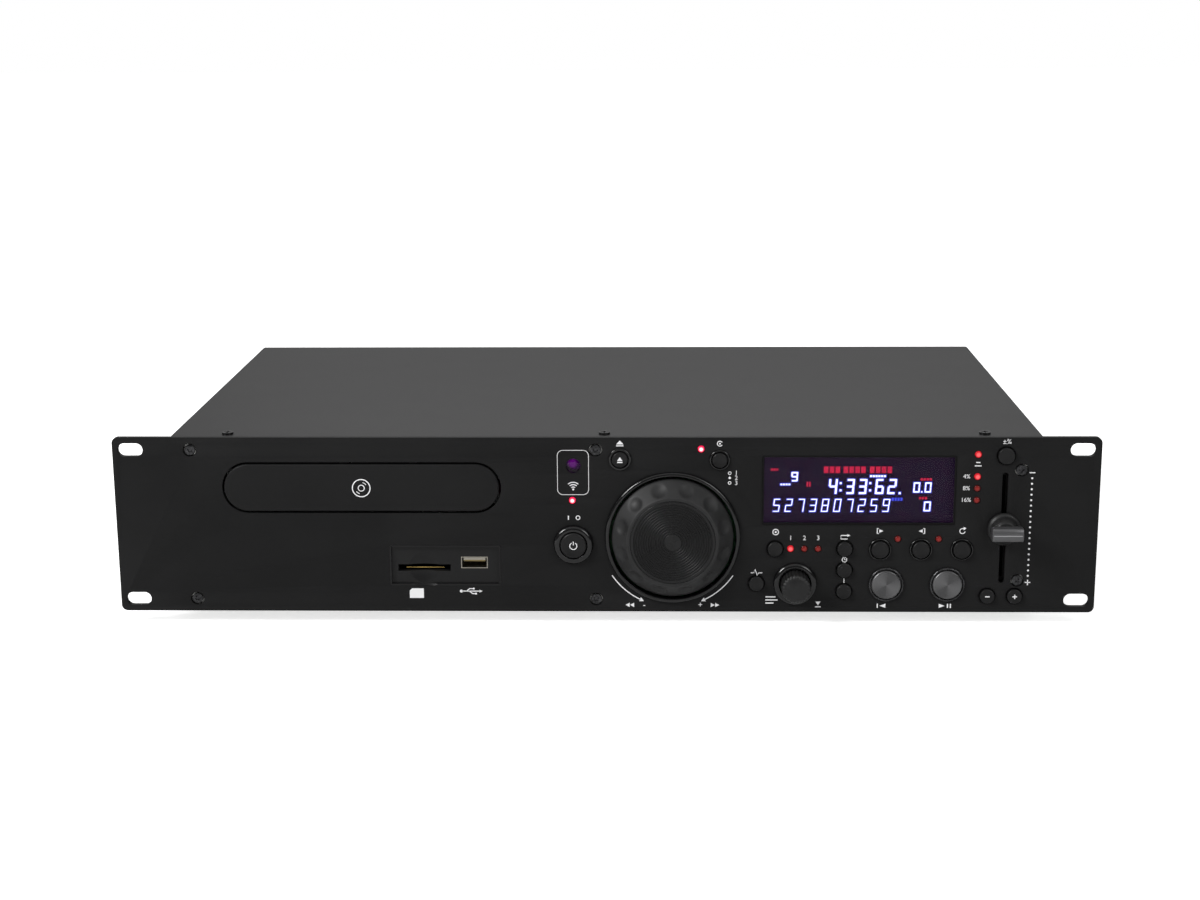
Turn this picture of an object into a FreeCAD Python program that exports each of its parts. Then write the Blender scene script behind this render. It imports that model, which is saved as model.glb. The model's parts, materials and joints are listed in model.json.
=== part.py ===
import FreeCAD, Part
import math
import os

import Sketcher

# A rack-width disc player for a DJ table, at its real size in millimetres.
# +Z is up, the front panel faces -Y, and the origin is under the middle of the whole object,
# on the surface that its rubber feet stand on.

# Driving dimensions, each written once. All lengths are in millimetres and angles in degrees.
SIZES = {
    # Front panel: a flat steel plate two rack units high, with four mounting slots
    "panel_width": 483.0,
    "panel_height": 88.8,
    "panel_thick": 3.0,
    "panel_corner": 3.0,
    "rack_pitch_wide": 465.1,
    "rack_pitch_tall": 76.2,
    "rack_slot_length": 12.4,
    "rack_slot_width": 6.6,
    # Sheet steel case behind the panel
    "case_width": 430.0,
    "case_depth": 250.0,
    "sheet": 1.0,
    "cover_drop": 1.2,
    "floor_rise": 1.6,
    "cover_bend": 1.6,
    "cover_gap": 0.2,
    "lip": 14.0,
    "rear_lip": 9.0,
    "control_window_low": 3.4,
    "control_window_high": 4.2,
    # Fits
    "slide_gap": 0.3,
    "turn_gap": 0.05,
    # Screws
    "screw_radius": 1.5,
    "sunk_head_radius": 3.0,
    "sunk_head_height": 1.6,
    "pan_head_radius": 2.8,
    "pan_head_height": 1.0,
    "screw_length": 7.0,
    "driver_slot_width": 0.9,
    "driver_slot_length": 3.4,
    "driver_slot_depth": 0.7,
    "panel_screw_x": 203.2,
    "panel_screw_mid_x": -4.1,
    "panel_screw_z": 38.0,
    "panel_screw_low_z": 28.0,
    "cover_screw_x": 186.8,
    "cover_screw_y": 13.3,
    "side_screw_z": 30.0,
    "side_screw_front_y": 70.0,
    "side_screw_rear_y": 190.0,
    "rear_screw_z": 33.0,
    # Rubber feet, pushed into the floor
    "foot_height": 8.0,
    "foot_radius": 11.0,
    "foot_taper": 1.5,
    "foot_round": 1.2,
    "foot_plug_radius": 3.0,
    "foot_plug_length": 4.0,
    "foot_x": 178.0,
    "foot_front_y": 52.0,
    "foot_rear_y": 215.0,
    # Buttons: cap, the collar behind the panel, and the stem that works the switch
    "cap_round": 0.5,
    "collar_extra": 0.9,
    "collar_thick": 1.0,
    "stem_radius": 1.5,
    "small_cap_radius": 3.7,
    "small_cap_reach": 1.6,
    "small_travel": 0.6,
    "loop_cap_radius": 4.3,
    "loop_cap_reach": 1.8,
    "open_cap_radius": 3.85,
    "open_cap_reach": 1.6,
    "pitch_cap_radius": 4.1,
    "bend_cap_radius": 3.6,
    "transport_cap_radius": 7.25,
    "transport_cap_reach": 1.9,
    "transport_travel": 1.0,
    "power_cap_radius": 6.4,
    "power_cap_reach": 3.0,
    "power_travel": 2.4,
    # Trim rings round some of the buttons
    "ring_wall": 0.9,
    "small_ring_radius": 5.6,
    "jog_mode_ring_radius": 5.1,
    "small_ring_reach": 0.8,
    "transport_ring_radius": 8.6,
    "transport_ring_reach": 1.1,
    "power_ring_radius": 9.8,
    "power_ring_reach": 2.4,
    "encoder_ring_radius": 10.8,
    "encoder_ring_reach": 2.2,
    "ring_round": 0.4,
    # Places of the controls, from the middle of the panel's front face
    "open_x": 7.8,
    "open_z": 33.4,
    "jog_mode_x": 56.5,
    "jog_mode_z": 33.1,
    "power_x": -15.2,
    "power_z": -9.7,
    "source_x": 84.0,
    "source_z": -11.9,
    "bpm_x": 75.0,
    "bpm_z": -29.6,
    "mode_x": 118.2,
    "mode_z": -11.8,
    "mode_pitch": 10.9,
    "loop_x": 135.5,
    "loop_z": -12.1,
    "loop_pitch": 20.0,
    "transport_x": 138.9,
    "transport_z": -30.0,
    "transport_pitch": 30.0,
    "pitch_x": 195.4,
    "pitch_button_z": 35.2,
    "bend_z": -35.9,
    "bend_pitch": 13.4,
    # Jog wheel
    "jog_x": 33.6,
    "jog_z": -6.2,
    "jog_ring_radius": 33.3,
    "jog_ring_reach": 1.8,
    "jog_radius": 29.9,
    "jog_gap": 0.6,
    "jog_edge_reach": 1.0,
    "jog_face_radius": 22.4,
    "jog_face_reach": 9.6,
    "jog_wall": 1.8,
    "jog_skirt": 2.0,
    "jog_pad_radius": 20.8,
    "jog_pad_thick": 1.2,
    "jog_hub_radius": 6.0,
    "jog_axle_radius": 3.0,
    "jog_axle_flange": 9.0,
    "jog_axle_base": 2.0,
    "dimple_count": 12,
    "dimple_orbit": 25.9,
    "dimple_sphere": 8.6,
    "dimple_depth": 1.1,
    # Track knob on its push encoder
    "knob_x": 94.1,
    "knob_z": -29.7,
    "knob_radius": 7.3,
    "knob_reach": 11.5,
    "knob_round": 2.4,
    "knob_wall": 1.6,
    "knob_grooves": 24,
    "knob_groove_radius": 0.5,
    "encoder_shaft_radius": 3.0,
    "encoder_body": 12.0,
    "encoder_body_depth": 6.5,
    "encoder_push": 0.5,
    # Pitch fader
    "fader_z": -1.25,
    "fader_slot_length": 56.0,
    "fader_slot_width": 2.8,
    "fader_travel": 23.0,
    "fader_lever_thick": 1.2,
    "fader_lever_tall": 5.0,
    "fader_body_width": 8.6,
    "fader_body_depth": 8.0,
    "fader_body_wall": 1.0,
    "fader_body_over": 5.0,
    "fader_skirt_radius": 8.0,
    "fader_skirt_thick": 2.0,
    "fader_skirt_gap": 1.0,
    "fader_neck_radius": 6.6,
    "fader_neck_reach": 8.5,
    "fader_bar_width": 15.1,
    "fader_bar_tall": 6.6,
    "fader_bar_reach": 14.4,
    "fader_bar_round": 1.0,
    # Lamps
    "lamp_radius": 1.5,
    "lamp_reach": 0.5,
    "lamp_fit": 0.1,
    "jog_lamp_x": 47.4,
    "jog_lamp_z": 38.5,
    "power_lamp_x": -15.6,
    "power_lamp_z": 12.6,
    "source_lamp_x": 91.6,
    "source_lamp_pitch": 6.75,
    "loop_lamp_x": 144.1,
    "loop_lamp_z": -6.8,
    "range_lamp_x": 181.9,
    "hold_lamp_z": 35.8,
    "range_lamp_z": 24.7,
    "range_lamp_pitch": 5.9,
    # Remote sensor window
    "sensor_x": -15.0,
    "sensor_z": 30.1,
    "sensor_radius": 3.6,
    "sensor_sunk": 0.3,
    # Display
    "display_x": 124.5,
    "display_z": 17.7,
    "display_width": 94.6,
    "display_height": 35.1,
    "display_corner": 1.0,
    "display_sunk": 0.8,
    "display_flange": 2.0,
    "display_glass_thick": 7.0,
    # Bay with the card slot and the data port
    "bay_x": -78.95,
    "bay_z": -20.75,
    "bay_width": 55.1,
    "bay_height": 20.7,
    "bay_corner": 1.5,
    "bay_sunk": 1.4,
    "bay_wall": 2.0,
    "bay_flange": 2.0,
    "card_x": -89.4,
    "card_z": -22.2,
    "card_width": 26.0,
    "card_height": 3.4,
    "card_depth": 30.0,
    "card_scoop_sphere": 20.0,
    "card_scoop_depth": 1.5,
    "port_x": -64.5,
    "port_z": -19.5,
    "port_width": 13.2,
    "port_height": 5.9,
    "port_depth": 18.0,
    "port_wall": 0.4,
    "port_tongue_thick": 1.8,
    # Control board behind the panel
    "board_back": 15.0,
    "board_thick": 1.6,
    "board_left": -26.0,
    "board_right": 209.0,
    "board_tall": 82.0,
    "switch_size": 6.0,
    "switch_depth": 3.5,
    "board_post_radius": 2.4,
    "board_post_z": 18.0,
    "board_post_x": 205.8,
    # Disc tray and its door
    "tray_x": -119.25,
    "door_z": 19.0,
    "door_width": 137.0,
    "door_height": 25.3,
    "door_gap": 0.8,
    "door_reach": 0.5,
    "door_thick": 3.6,
    "door_round": 0.8,
    "tray_width": 129.0,
    "tray_depth": 168.0,
    "tray_low": 17.0,
    "tray_thick": 7.0,
    "tray_floor": 2.4,
    "tray_corner": 6.0,
    "tray_travel": 135.0,
    "disc_radius": 60.0,
    "disc_play": 0.8,
    "small_disc_radius": 40.5,
    "small_disc_depth": 1.0,
    "disc_y": 70.0,
    "tray_slot_width": 44.0,
    "tray_slot_front": 18.0,
    "disc_thick": 1.2,
    # Loader frame
    "frame_low": -8.0,
    "frame_floor": 2.0,
    "frame_wall": 2.5,
    "frame_ledge": 5.0,
    "frame_ledge_thick": 2.6,
    "frame_lip": 2.0,
    "frame_lip_thick": 2.7,
    "frame_front": 6.0,
    "frame_depth": 184.0,
    "frame_post_radius": 4.0,
    "frame_post_x": 60.0,
    "frame_post_front": 40.0,
    "frame_post_rear": 175.0,
    # Tray drive: rack under the tray, pinion with its belt wheel, belt and motor
    "gear_module": 1.0,
    "pinion_teeth": 24,
    "gear_backlash": 0.30,
    "gear_tip": 0.9,
    "gear_root": 1.3,
    "tooth_sink": 0.3,
    "pinion_tip_ease": 0.08,
    "pinion_root_ease": 0.12,
    "pinion_x": 41.5,
    "pinion_y": 26.0,
    "pinion_low": 11.5,
    "pinion_thick": 5.0,
    "pinion_hub_radius": 5.0,
    "pinion_axle_radius": 2.0,
    "rack_height": 4.3,
    "rack_back": 3.5,
    "rack_front": 20.0,
    "belt_wheel_radius": 16.0,
    "belt_wheel_low": -5.0,
    "belt_wheel_thick": 4.0,
    "belt_thick": 1.6,
    "belt_gap": 0.3,
    "motor_x": -2.0,
    "motor_y": 22.0,
    "motor_radius": 11.0,
    "motor_height": 18.0,
    "motor_shaft_radius": 1.0,
    "motor_pulley_radius": 4.0,
    # Traverse deck with its lift cam
    "lift": 5.0,
    "cam_travel": 10.0,
    "deck_low": 5.0,
    "deck_thick": 2.0,
    "deck_half_width": 27.0,
    "deck_front": 52.0,
    "deck_depth": 106.0,
    "deck_pin_radius": 1.5,
    "deck_pin_x": 17.0,
    "deck_pin_z": 6.0,
    "deck_post_radius": 3.0,
    "deck_post_x": 22.5,
    "deck_post_y": 151.0,
    "deck_post_high": 13.5,
    "cam_y": 46.0,
    "cam_thick": 2.5,
    "cam_half_width": 24.0,
    "cam_high": 14.0,
    "cam_rib": 1.7,
    "cam_rib_high": -1.0,
    # Spindle, turntable and clamp
    "seat_z": 15.7,
    "table_radius": 15.0,
    "table_thick": 2.6,
    "table_hub_radius": 7.3,
    "table_hub_high": 3.2,
    "table_hub_taper": 1.4,
    "spindle_radius": 1.0,
    "spindle_motor_radius": 12.0,
    "spindle_motor_low": -3.0,
    "spindle_boss_radius": 5.0,
    "puck_flange_radius": 17.5,
    "puck_flange_thick": 1.6,
    "puck_radius": 14.3,
    "puck_recess_radius": 8.2,
    "puck_recess_depth": 2.9,
    "bridge_thick": 1.0,
    "bridge_half_depth": 20.0,
    "bridge_hole_radius": 15.0,
    # Pickup on its two rods
    "pickup_travel": 35.0,
    "lens_inner": 23.0,
    "lens_radius": 3.6,
    "lens_below_disc": 1.5,
    "lens_dish": 0.5,
    "sled_half_width": 19.5,
    "sled_front": 6.0,
    "sled_depth": 24.0,
    "sled_low": 7.4,
    "sled_high": 12.6,
    "sled_keel_half": 10.0,
    "sled_keel_low": 2.0,
    "rod_radius": 1.5,
    "rod_x": 14.5,
    "rod_z": 10.0,
    "rod_front": 82.0,
    "rod_length": 70.0,
    "rod_block": 3.0,
    "rod_roof": 0.3,
    # Boards and parts on the floor of the case
    "stand_height": 6.0,
    "stand_radius": 3.0,
    "stand_inset": 6.0,
    "main_left": -40.0,
    "main_right": 80.0,
    "main_front": 55.0,
    "main_rear": 190.0,
    "small_capacitor_radius": 3.2,
    "small_capacitor_tall": 11.0,
    "supply_left": 95.0,
    "supply_right": 205.0,
    "supply_front": 120.0,
    "supply_rear": 225.0,
    "transformer_edge": 12.0,
    "transformer_wide": 44.0,
    "transformer_deep": 37.0,
    "transformer_tall": 34.0,
    "coil_inset": 9.0,
    "coil_over": 6.0,
    "coil_drop": 4.0,
    "capacitor_edge": 6.0,
    "capacitor_start": 20.0,
    "capacitor_space": 3.0,
    "capacitor_radius": 8.0,
    "capacitor_tall": 26.0,
    "sink_left": 72.0,
    "sink_front": 8.0,
    "sink_depth": 40.0,
    "sink_thick": 3.0,
    "fin_reach": 7.0,
    "fin_thick": 2.0,
    "fin_pitch": 9.0,
    "sink_tall": 30.0,
    "fuse_left": 40.0,
    "fuse_right": 16.0,
    "fuse_rear": 14.0,
    "fuse_deep": 8.0,
    "fuse_tall": 9.0,
    # Rear connections
    "inlet_x": 160.0,
    "inlet_z": -12.0,
    "inlet_width": 27.2,
    "inlet_height": 19.8,
    "inlet_depth": 26.0,
    "inlet_fit": 0.2,
    "inlet_flange": 4.0,
    "inlet_screw_out": 6.4,
    "inlet_ear": 10.4,
    "inlet_flange_thick": 2.4,
    "inlet_socket_width": 23.4,
    "inlet_socket_height": 15.8,
    "inlet_socket_depth": 16.5,
    "inlet_pin_width": 2.0,
    "inlet_pin_tall": 4.0,
    "inlet_pin_pitch": 7.0,
    "inlet_pin_lift": 1.5,
    "inlet_earth_lift": 3.5,
    "inlet_pin_sunk": 2.4,
    "jack_x": -30.0,
    "jack_z": -10.0,
    "jack_pitch": 18.0,
    "jack_count": 3,
    "jack_radius": 4.15,
    "jack_reach": 9.0,
    "jack_core_radius": 1.7,
    "jack_nut_radius": 5.6,
    "jack_nut_thick": 1.4,
    "jack_hole_radius": 4.6,
    "jack_box_depth": 12.0,
    "jack_box_half": 8.0,
}


class Size:
    """A length from the sheet, or one worked out from such lengths, with its formula."""

    def __init__(self, value, formula=None):
        self.value = value
        self.formula = formula or repr(value)

    def __add__(self, other):
        other = as_size(other)
        return Size(self.value + other.value, f"({self.formula} + {other.formula})")

    def __radd__(self, other):
        return as_size(other) + self

    def __sub__(self, other):
        other = as_size(other)
        return Size(self.value - other.value, f"({self.formula} - {other.formula})")

    def __rsub__(self, other):
        return as_size(other) - self

    def __mul__(self, other):
        other = as_size(other)
        return Size(self.value * other.value, f"({self.formula} * {other.formula})")

    def __rmul__(self, other):
        return as_size(other) * self

    def __truediv__(self, other):
        other = as_size(other)
        return Size(self.value / other.value, f"({self.formula} / {other.formula})")

    def __rtruediv__(self, other):
        return as_size(other) / self

    def __neg__(self):
        return Size(-self.value, f"(0 - {self.formula})")


def as_size(number):
    return number if isinstance(number, Size) else Size(number)


def root_of(size):
    return Size(math.sqrt(size.value), f"sqrt({size.formula})")


def tangent_of(degrees):
    """The tangent of a plain angle in degrees."""
    return Size(math.tan(math.radians(degrees)), f"tan({degrees} deg)")


def arctangent_of(size):
    """The angle in degrees whose tangent is this ratio."""
    return Size(math.degrees(math.atan(size.value)), f"atan({size.formula})")


class SizeSheet:
    """The spreadsheet of driving dimensions, read as attributes."""

    def __init__(self, document):
        self.cells = document.addObject("Spreadsheet::Sheet", "Sizes")
        for row, (name, number) in enumerate(SIZES.items(), start=1):
            self.cells.set(f"A{row}", name)
            self.cells.set(f"B{row}", str(number))
            self.cells.setAlias(f"B{row}", name)

    def __getattr__(self, name):
        return Size(SIZES[name], f"Sizes.{name}")


doc = FreeCAD.newDocument("disc_player")
S = SizeSheet(doc)
doc.recompute()

finished = []


def bind(thing, name, size):
    """Ties a property to the sheet."""
    size = as_size(size)
    if "Sizes." in size.formula:
        thing.setExpression(name, size.formula)
    else:
        setattr(thing, name, size.value) if "." not in name else thing.setExpression(name, size.formula)


def place(thing, x, y, z):
    for axis, size in (("x", x), ("y", y), ("z", z)):
        bind(thing, f"Placement.Base.{axis}", as_size(size))
    return thing


def finish(thing, label):
    """Names a sub-part and puts it on the list that is written out."""
    thing.Label = label
    finished.append(thing)
    return thing


# Part primitives and booleans

# How near two places count as one, in mm
CLOSE = 0.01
# Fins on the heat sink
FIN_COUNT = 5
TURNS = {"x": (FreeCAD.Vector(0, 1, 0), 90), "y": (FreeCAD.Vector(1, 0, 0), -90), "z": (FreeCAD.Vector(0, 0, 1), 0)}


def aim(thing, axis):
    """Turns a primitive so that its own Z runs along +X, +Y or +Z."""
    direction, angle = TURNS[axis]
    thing.Placement = FreeCAD.Placement(FreeCAD.Vector(), FreeCAD.Rotation(direction, angle))
    return thing


def block(x, y, z):
    """A box between the two ends given for each axis."""
    box = doc.addObject("Part::Box", "Block")
    for name, (low, high) in (("Length", x), ("Width", y), ("Height", z)):
        bind(box, name, as_size(high) - as_size(low))
    return place(box, x[0], y[0], z[0])


def rod(axis, radius, x, y, z, length):
    """A cylinder that starts at a point and runs along +X, +Y or +Z."""
    cylinder = aim(doc.addObject("Part::Cylinder", "Rod"), axis)
    bind(cylinder, "Radius", radius)
    bind(cylinder, "Height", length)
    return place(cylinder, x, y, z)


def cone(axis, radius, far_radius, x, y, z, length):
    piece = aim(doc.addObject("Part::Cone", "Cone"), axis)
    bind(piece, "Radius1", radius)
    bind(piece, "Radius2", far_radius)
    bind(piece, "Height", length)
    return place(piece, x, y, z)


def ball(radius, x, y, z):
    sphere = doc.addObject("Part::Sphere", "Ball")
    bind(sphere, "Radius", radius)
    return place(sphere, x, y, z)


def join(*pieces):
    fused = doc.addObject("Part::MultiFuse", "Join")
    fused.Shapes = list(pieces)
    return fused


def cut(base, *tools):
    piece = doc.addObject("Part::Cut", "Cut")
    piece.Base = base
    piece.Tool = tools[0] if len(tools) == 1 else join(*tools)
    return piece


def group(*pieces):
    """Separate solids of one kind that share a node."""
    compound = doc.addObject("Part::Compound", "Group")
    compound.Links = list(pieces)
    return compound


# Sketches and features


def new_body(x=0, y=0, z=0):
    return place(doc.addObject("PartDesign::Body", "Body"), x, y, z)


def origin_part(body, role):
    return next(item for item in body.Origin.OriginFeatures if item.Role == role)


def new_sketch(body, plane, offset=None):
    sketch = body.newObject("Sketcher::SketchObject", "Sketch")
    sketch.AttachmentSupport = [(origin_part(body, plane), "")]
    sketch.MapMode = "FlatFace"
    if offset is not None:
        bind(sketch, "AttachmentOffset.Base.z", offset)
    return sketch


def hold(sketch, name, size, *terms):
    """Adds a named constraint whose size follows the sheet."""
    constraint = Sketcher.Constraint(*terms, size.value)
    constraint.Name = name
    sketch.addConstraint(constraint)
    bind(sketch, f"Constraints.{name}", size)


def fix_point(sketch, element, point, across=None, up=None):
    """Holds a point of a sketch at its distances from the sketch's origin."""
    for letter, size in (("X", across), ("Y", up)):
        if size is not None:
            hold(sketch, f"{letter.lower()}_{element}_{point}", size, f"Distance{letter}", -1, 1, element, point)


def draw_circle(sketch, across, up, radius):
    across, up, radius = as_size(across), as_size(up), as_size(radius)
    centre = FreeCAD.Vector(across.value, up.value, 0)
    element = sketch.addGeometry(Part.Circle(centre, FreeCAD.Vector(0, 0, 1), radius.value), False)
    hold(sketch, f"radius_{element}", radius, "Radius", element)
    fix_point(sketch, element, 3, across, up)


def heading(start, end):
    """The direction of a side as whole steps along its two axes."""
    sides = [as_size(end[i]).value - as_size(start[i]).value for i in (0, 1)]
    return [(side > 1e-9) - (side < -1e-9) for side in sides]


def draw_loop(sketch, corners):
    """A closed outline of (across, up) corners. A third number rounds a square corner."""
    stretches = []
    count = len(corners)
    for i, corner in enumerate(corners):
        point = [as_size(corner[0]), as_size(corner[1])]
        if len(corner) == 2:
            stretches.append((point, point, None, 0))
            continue
        radius = as_size(corner[2])
        before = heading(corners[i - 1], corner)
        after = heading(corner, corners[(i + 1) % count])
        first = [point[k] - radius * before[k] for k in (0, 1)]
        last = [point[k] + radius * after[k] for k in (0, 1)]
        centre = [point[k] - radius * before[k] + radius * after[k] for k in (0, 1)]
        turn = before[0] * after[1] - before[1] * after[0]
        stretches.append((first, last, centre, turn))
    elements = []
    for i, (first, last, centre, turn) in enumerate(stretches):
        if centre is not None:
            ends = (first, last) if turn > 0 else (last, first)
            angles = [math.atan2(end[1].value - centre[1].value, end[0].value - centre[0].value) for end in ends]
            middle = FreeCAD.Vector(centre[0].value, centre[1].value, 0)
            reach = math.hypot(first[0].value - centre[0].value, first[1].value - centre[1].value)
            circle = Part.Circle(middle, FreeCAD.Vector(0, 0, 1), reach)
            arc = Part.ArcOfCircle(circle, angles[0], angles[1] + (2 * math.pi if angles[1] < angles[0] else 0))
            element = sketch.addGeometry(arc, False)
            elements.append((element, 1, 2, first, centre) if turn > 0 else (element, 2, 1, first, centre))
        start = FreeCAD.Vector(last[0].value, last[1].value, 0)
        following = stretches[(i + 1) % count][0]
        end = FreeCAD.Vector(following[0].value, following[1].value, 0)
        if start.distanceToPoint(end) > 1e-6:
            element = sketch.addGeometry(Part.LineSegment(start, end), False)
            elements.append((element, 1, 2, last, None))
    for i, (element, start_point, end_point, start, centre) in enumerate(elements):
        following = elements[(i + 1) % len(elements)]
        sketch.addConstraint(Sketcher.Constraint("Coincident", element, end_point, following[0], following[1]))
        fix_point(sketch, element, start_point, start[0], start[1])
        if centre is not None:
            fix_point(sketch, element, 3, across=centre[0])


def draw_rectangle(sketch, left, right, low, high, radius=None):
    corner = [] if radius is None else [radius]
    draw_loop(sketch, [[x, z, *corner] for x, z in ((left, low), (right, low), (right, high), (left, high))])


def extend(body, sketch, length, backwards=False):
    """Pads a sketch, along its own normal unless told to go backwards."""
    pad = body.newObject("PartDesign::Pad", "Pad")
    pad.Profile = sketch
    bind(pad, "Length", length)
    pad.Reversed = backwards
    return pad


def pierce(body, sketch, length):
    """Cuts a sketch out of the body, half the length to each side of the sketch's plane."""
    pocket = body.newObject("PartDesign::Pocket", "Pocket")
    pocket.Profile = sketch
    pocket.Midplane = True
    bind(pocket, "Length", length)
    return pocket


def spin(body, sketch, axis="V_Axis"):
    turned = body.newObject("PartDesign::Revolution", "Turn")
    turned.Profile = sketch
    turned.ReferenceAxis = (sketch, [axis])
    turned.Angle = 360
    return turned


def lathe(corners, x, y, z):
    """A body turned about its own Y axis, from (radius, depth) corners."""
    body = new_body(x, y, z)
    sketch = new_sketch(body, "XY_Plane")
    draw_loop(sketch, corners)
    spin(body, sketch)
    return body


def upright_lathe(corners, x, y, z):
    """A body turned about its own Z axis, from (radius, height) corners."""
    body = new_body(x, y, z)
    sketch = new_sketch(body, "XZ_Plane")
    draw_loop(sketch, corners)
    spin(body, sketch)
    return body


def repeat_round(body, features, axis, count):
    pattern = body.newObject("PartDesign::PolarPattern", "Around")
    pattern.Originals = features
    pattern.Axis = (origin_part(body, axis), [""])
    pattern.Angle = 360
    bind(pattern, "Occurrences", count)
    body.Tip = pattern
    return pattern


# Levels that many pieces share

face_y = S.fader_bar_reach - (S.fader_bar_reach + S.case_depth + S.jack_reach) / 2
rear_y = face_y + S.case_depth
back_y = face_y + S.panel_thick
wall_y = back_y + S.sheet
board_y = face_y + S.board_back
floor_z = S.foot_height
panel_low = floor_z - S.floor_rise
middle_z = panel_low + S.panel_height / 2
roof_z = panel_low + S.panel_height - S.cover_drop
ceiling_z = roof_z - S.sheet
chassis_top = ceiling_z - S.cover_gap
inside_z = floor_z + S.sheet
side_x = S.case_width / 2
chassis_x = side_x - S.sheet - S.cover_gap
inside_x = chassis_x - S.sheet

loop_places = [("loop_in", S.loop_x), ("loop_out", S.loop_x + S.loop_pitch), ("reloop", S.loop_x + 2 * S.loop_pitch)]
transport_places = [("cue", S.transport_x), ("play_pause", S.transport_x + S.transport_pitch)]
bend_places = [("pitch_bend_minus", S.pitch_x - S.bend_pitch / 2), ("pitch_bend_plus", S.pitch_x + S.bend_pitch / 2)]

# Each button: its name, place, cap radius, reach in front of the panel, travel and ring radius
BUTTONS = [
    ("power", S.power_x, S.power_z, S.power_cap_radius, S.power_cap_reach, S.power_travel,
     S.power_ring_radius, S.power_ring_reach),
    ("open_close", S.open_x, S.open_z, S.open_cap_radius, S.open_cap_reach, S.small_travel,
     S.small_ring_radius, S.small_ring_reach),
    ("jog_mode", S.jog_mode_x, S.jog_mode_z, S.small_cap_radius, S.open_cap_reach, S.small_travel,
     S.jog_mode_ring_radius, S.small_ring_reach),
    ("source", S.source_x, S.source_z, S.small_cap_radius, S.small_cap_reach, S.small_travel, None, None),
    ("bpm", S.bpm_x, S.bpm_z, S.small_cap_radius, S.small_cap_reach, S.small_travel, None, None),
    ("repeat", S.mode_x, S.mode_z, S.small_cap_radius, S.small_cap_reach, S.small_travel, None, None),
    ("time", S.mode_x, S.mode_z - S.mode_pitch, S.small_cap_radius, S.small_cap_reach, S.small_travel, None, None),
    ("single", S.mode_x, S.mode_z - 2 * S.mode_pitch, S.small_cap_radius, S.small_cap_reach, S.small_travel,
     None, None),
    *[(name, x, S.loop_z, S.loop_cap_radius, S.loop_cap_reach, S.small_travel,
       S.small_ring_radius, S.small_ring_reach) for name, x in loop_places],
    *[(name, x, S.transport_z, S.transport_cap_radius, S.transport_cap_reach, S.transport_travel,
       S.transport_ring_radius, S.transport_ring_reach) for name, x in transport_places],
    ("pitch", S.pitch_x, S.pitch_button_z, S.pitch_cap_radius, S.small_cap_reach, S.small_travel, None, None),
    *[(name, x, S.bend_z, S.bend_cap_radius, S.small_cap_reach, S.small_travel, None, None)
      for name, x in bend_places],
]

LAMPS = [
    (S.jog_lamp_x, S.jog_lamp_z),
    (S.power_lamp_x, S.power_lamp_z),
    *[(S.source_lamp_x + i * S.source_lamp_pitch, S.source_z) for i in range(3)],
    *[(S.loop_lamp_x + i * S.loop_pitch, S.loop_lamp_z) for i in range(2)],
    (S.range_lamp_x, S.hold_lamp_z),
    *[(S.range_lamp_x, S.range_lamp_z - i * S.range_lamp_pitch) for i in range(3)],
]

PANEL_SCREWS = [
    (-S.panel_screw_x, S.panel_screw_z),
    (-S.panel_screw_x, -S.panel_screw_z),
    (S.panel_screw_mid_x, S.panel_screw_z),
    (S.panel_screw_mid_x, -S.panel_screw_z),
    (S.panel_screw_x, S.panel_screw_low_z),
    (S.panel_screw_x, -S.panel_screw_low_z),
]


def hole_radius(cap_radius, ring_radius):
    """The hole in the panel that a button, or its trim ring, goes through."""
    bare = cap_radius + S.slide_gap
    return bare if ring_radius is None else bare + S.ring_wall


tray_wall_x = S.tray_width / 2 + S.slide_gap
frame_side_x = tray_wall_x + S.frame_wall
tray_front = face_y + S.door_thick - S.door_reach
disc_centre_y = face_y + S.disc_y
rack_pitch_line = S.pinion_x + S.gear_module * S.pinion_teeth / 2


# Front panel


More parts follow.
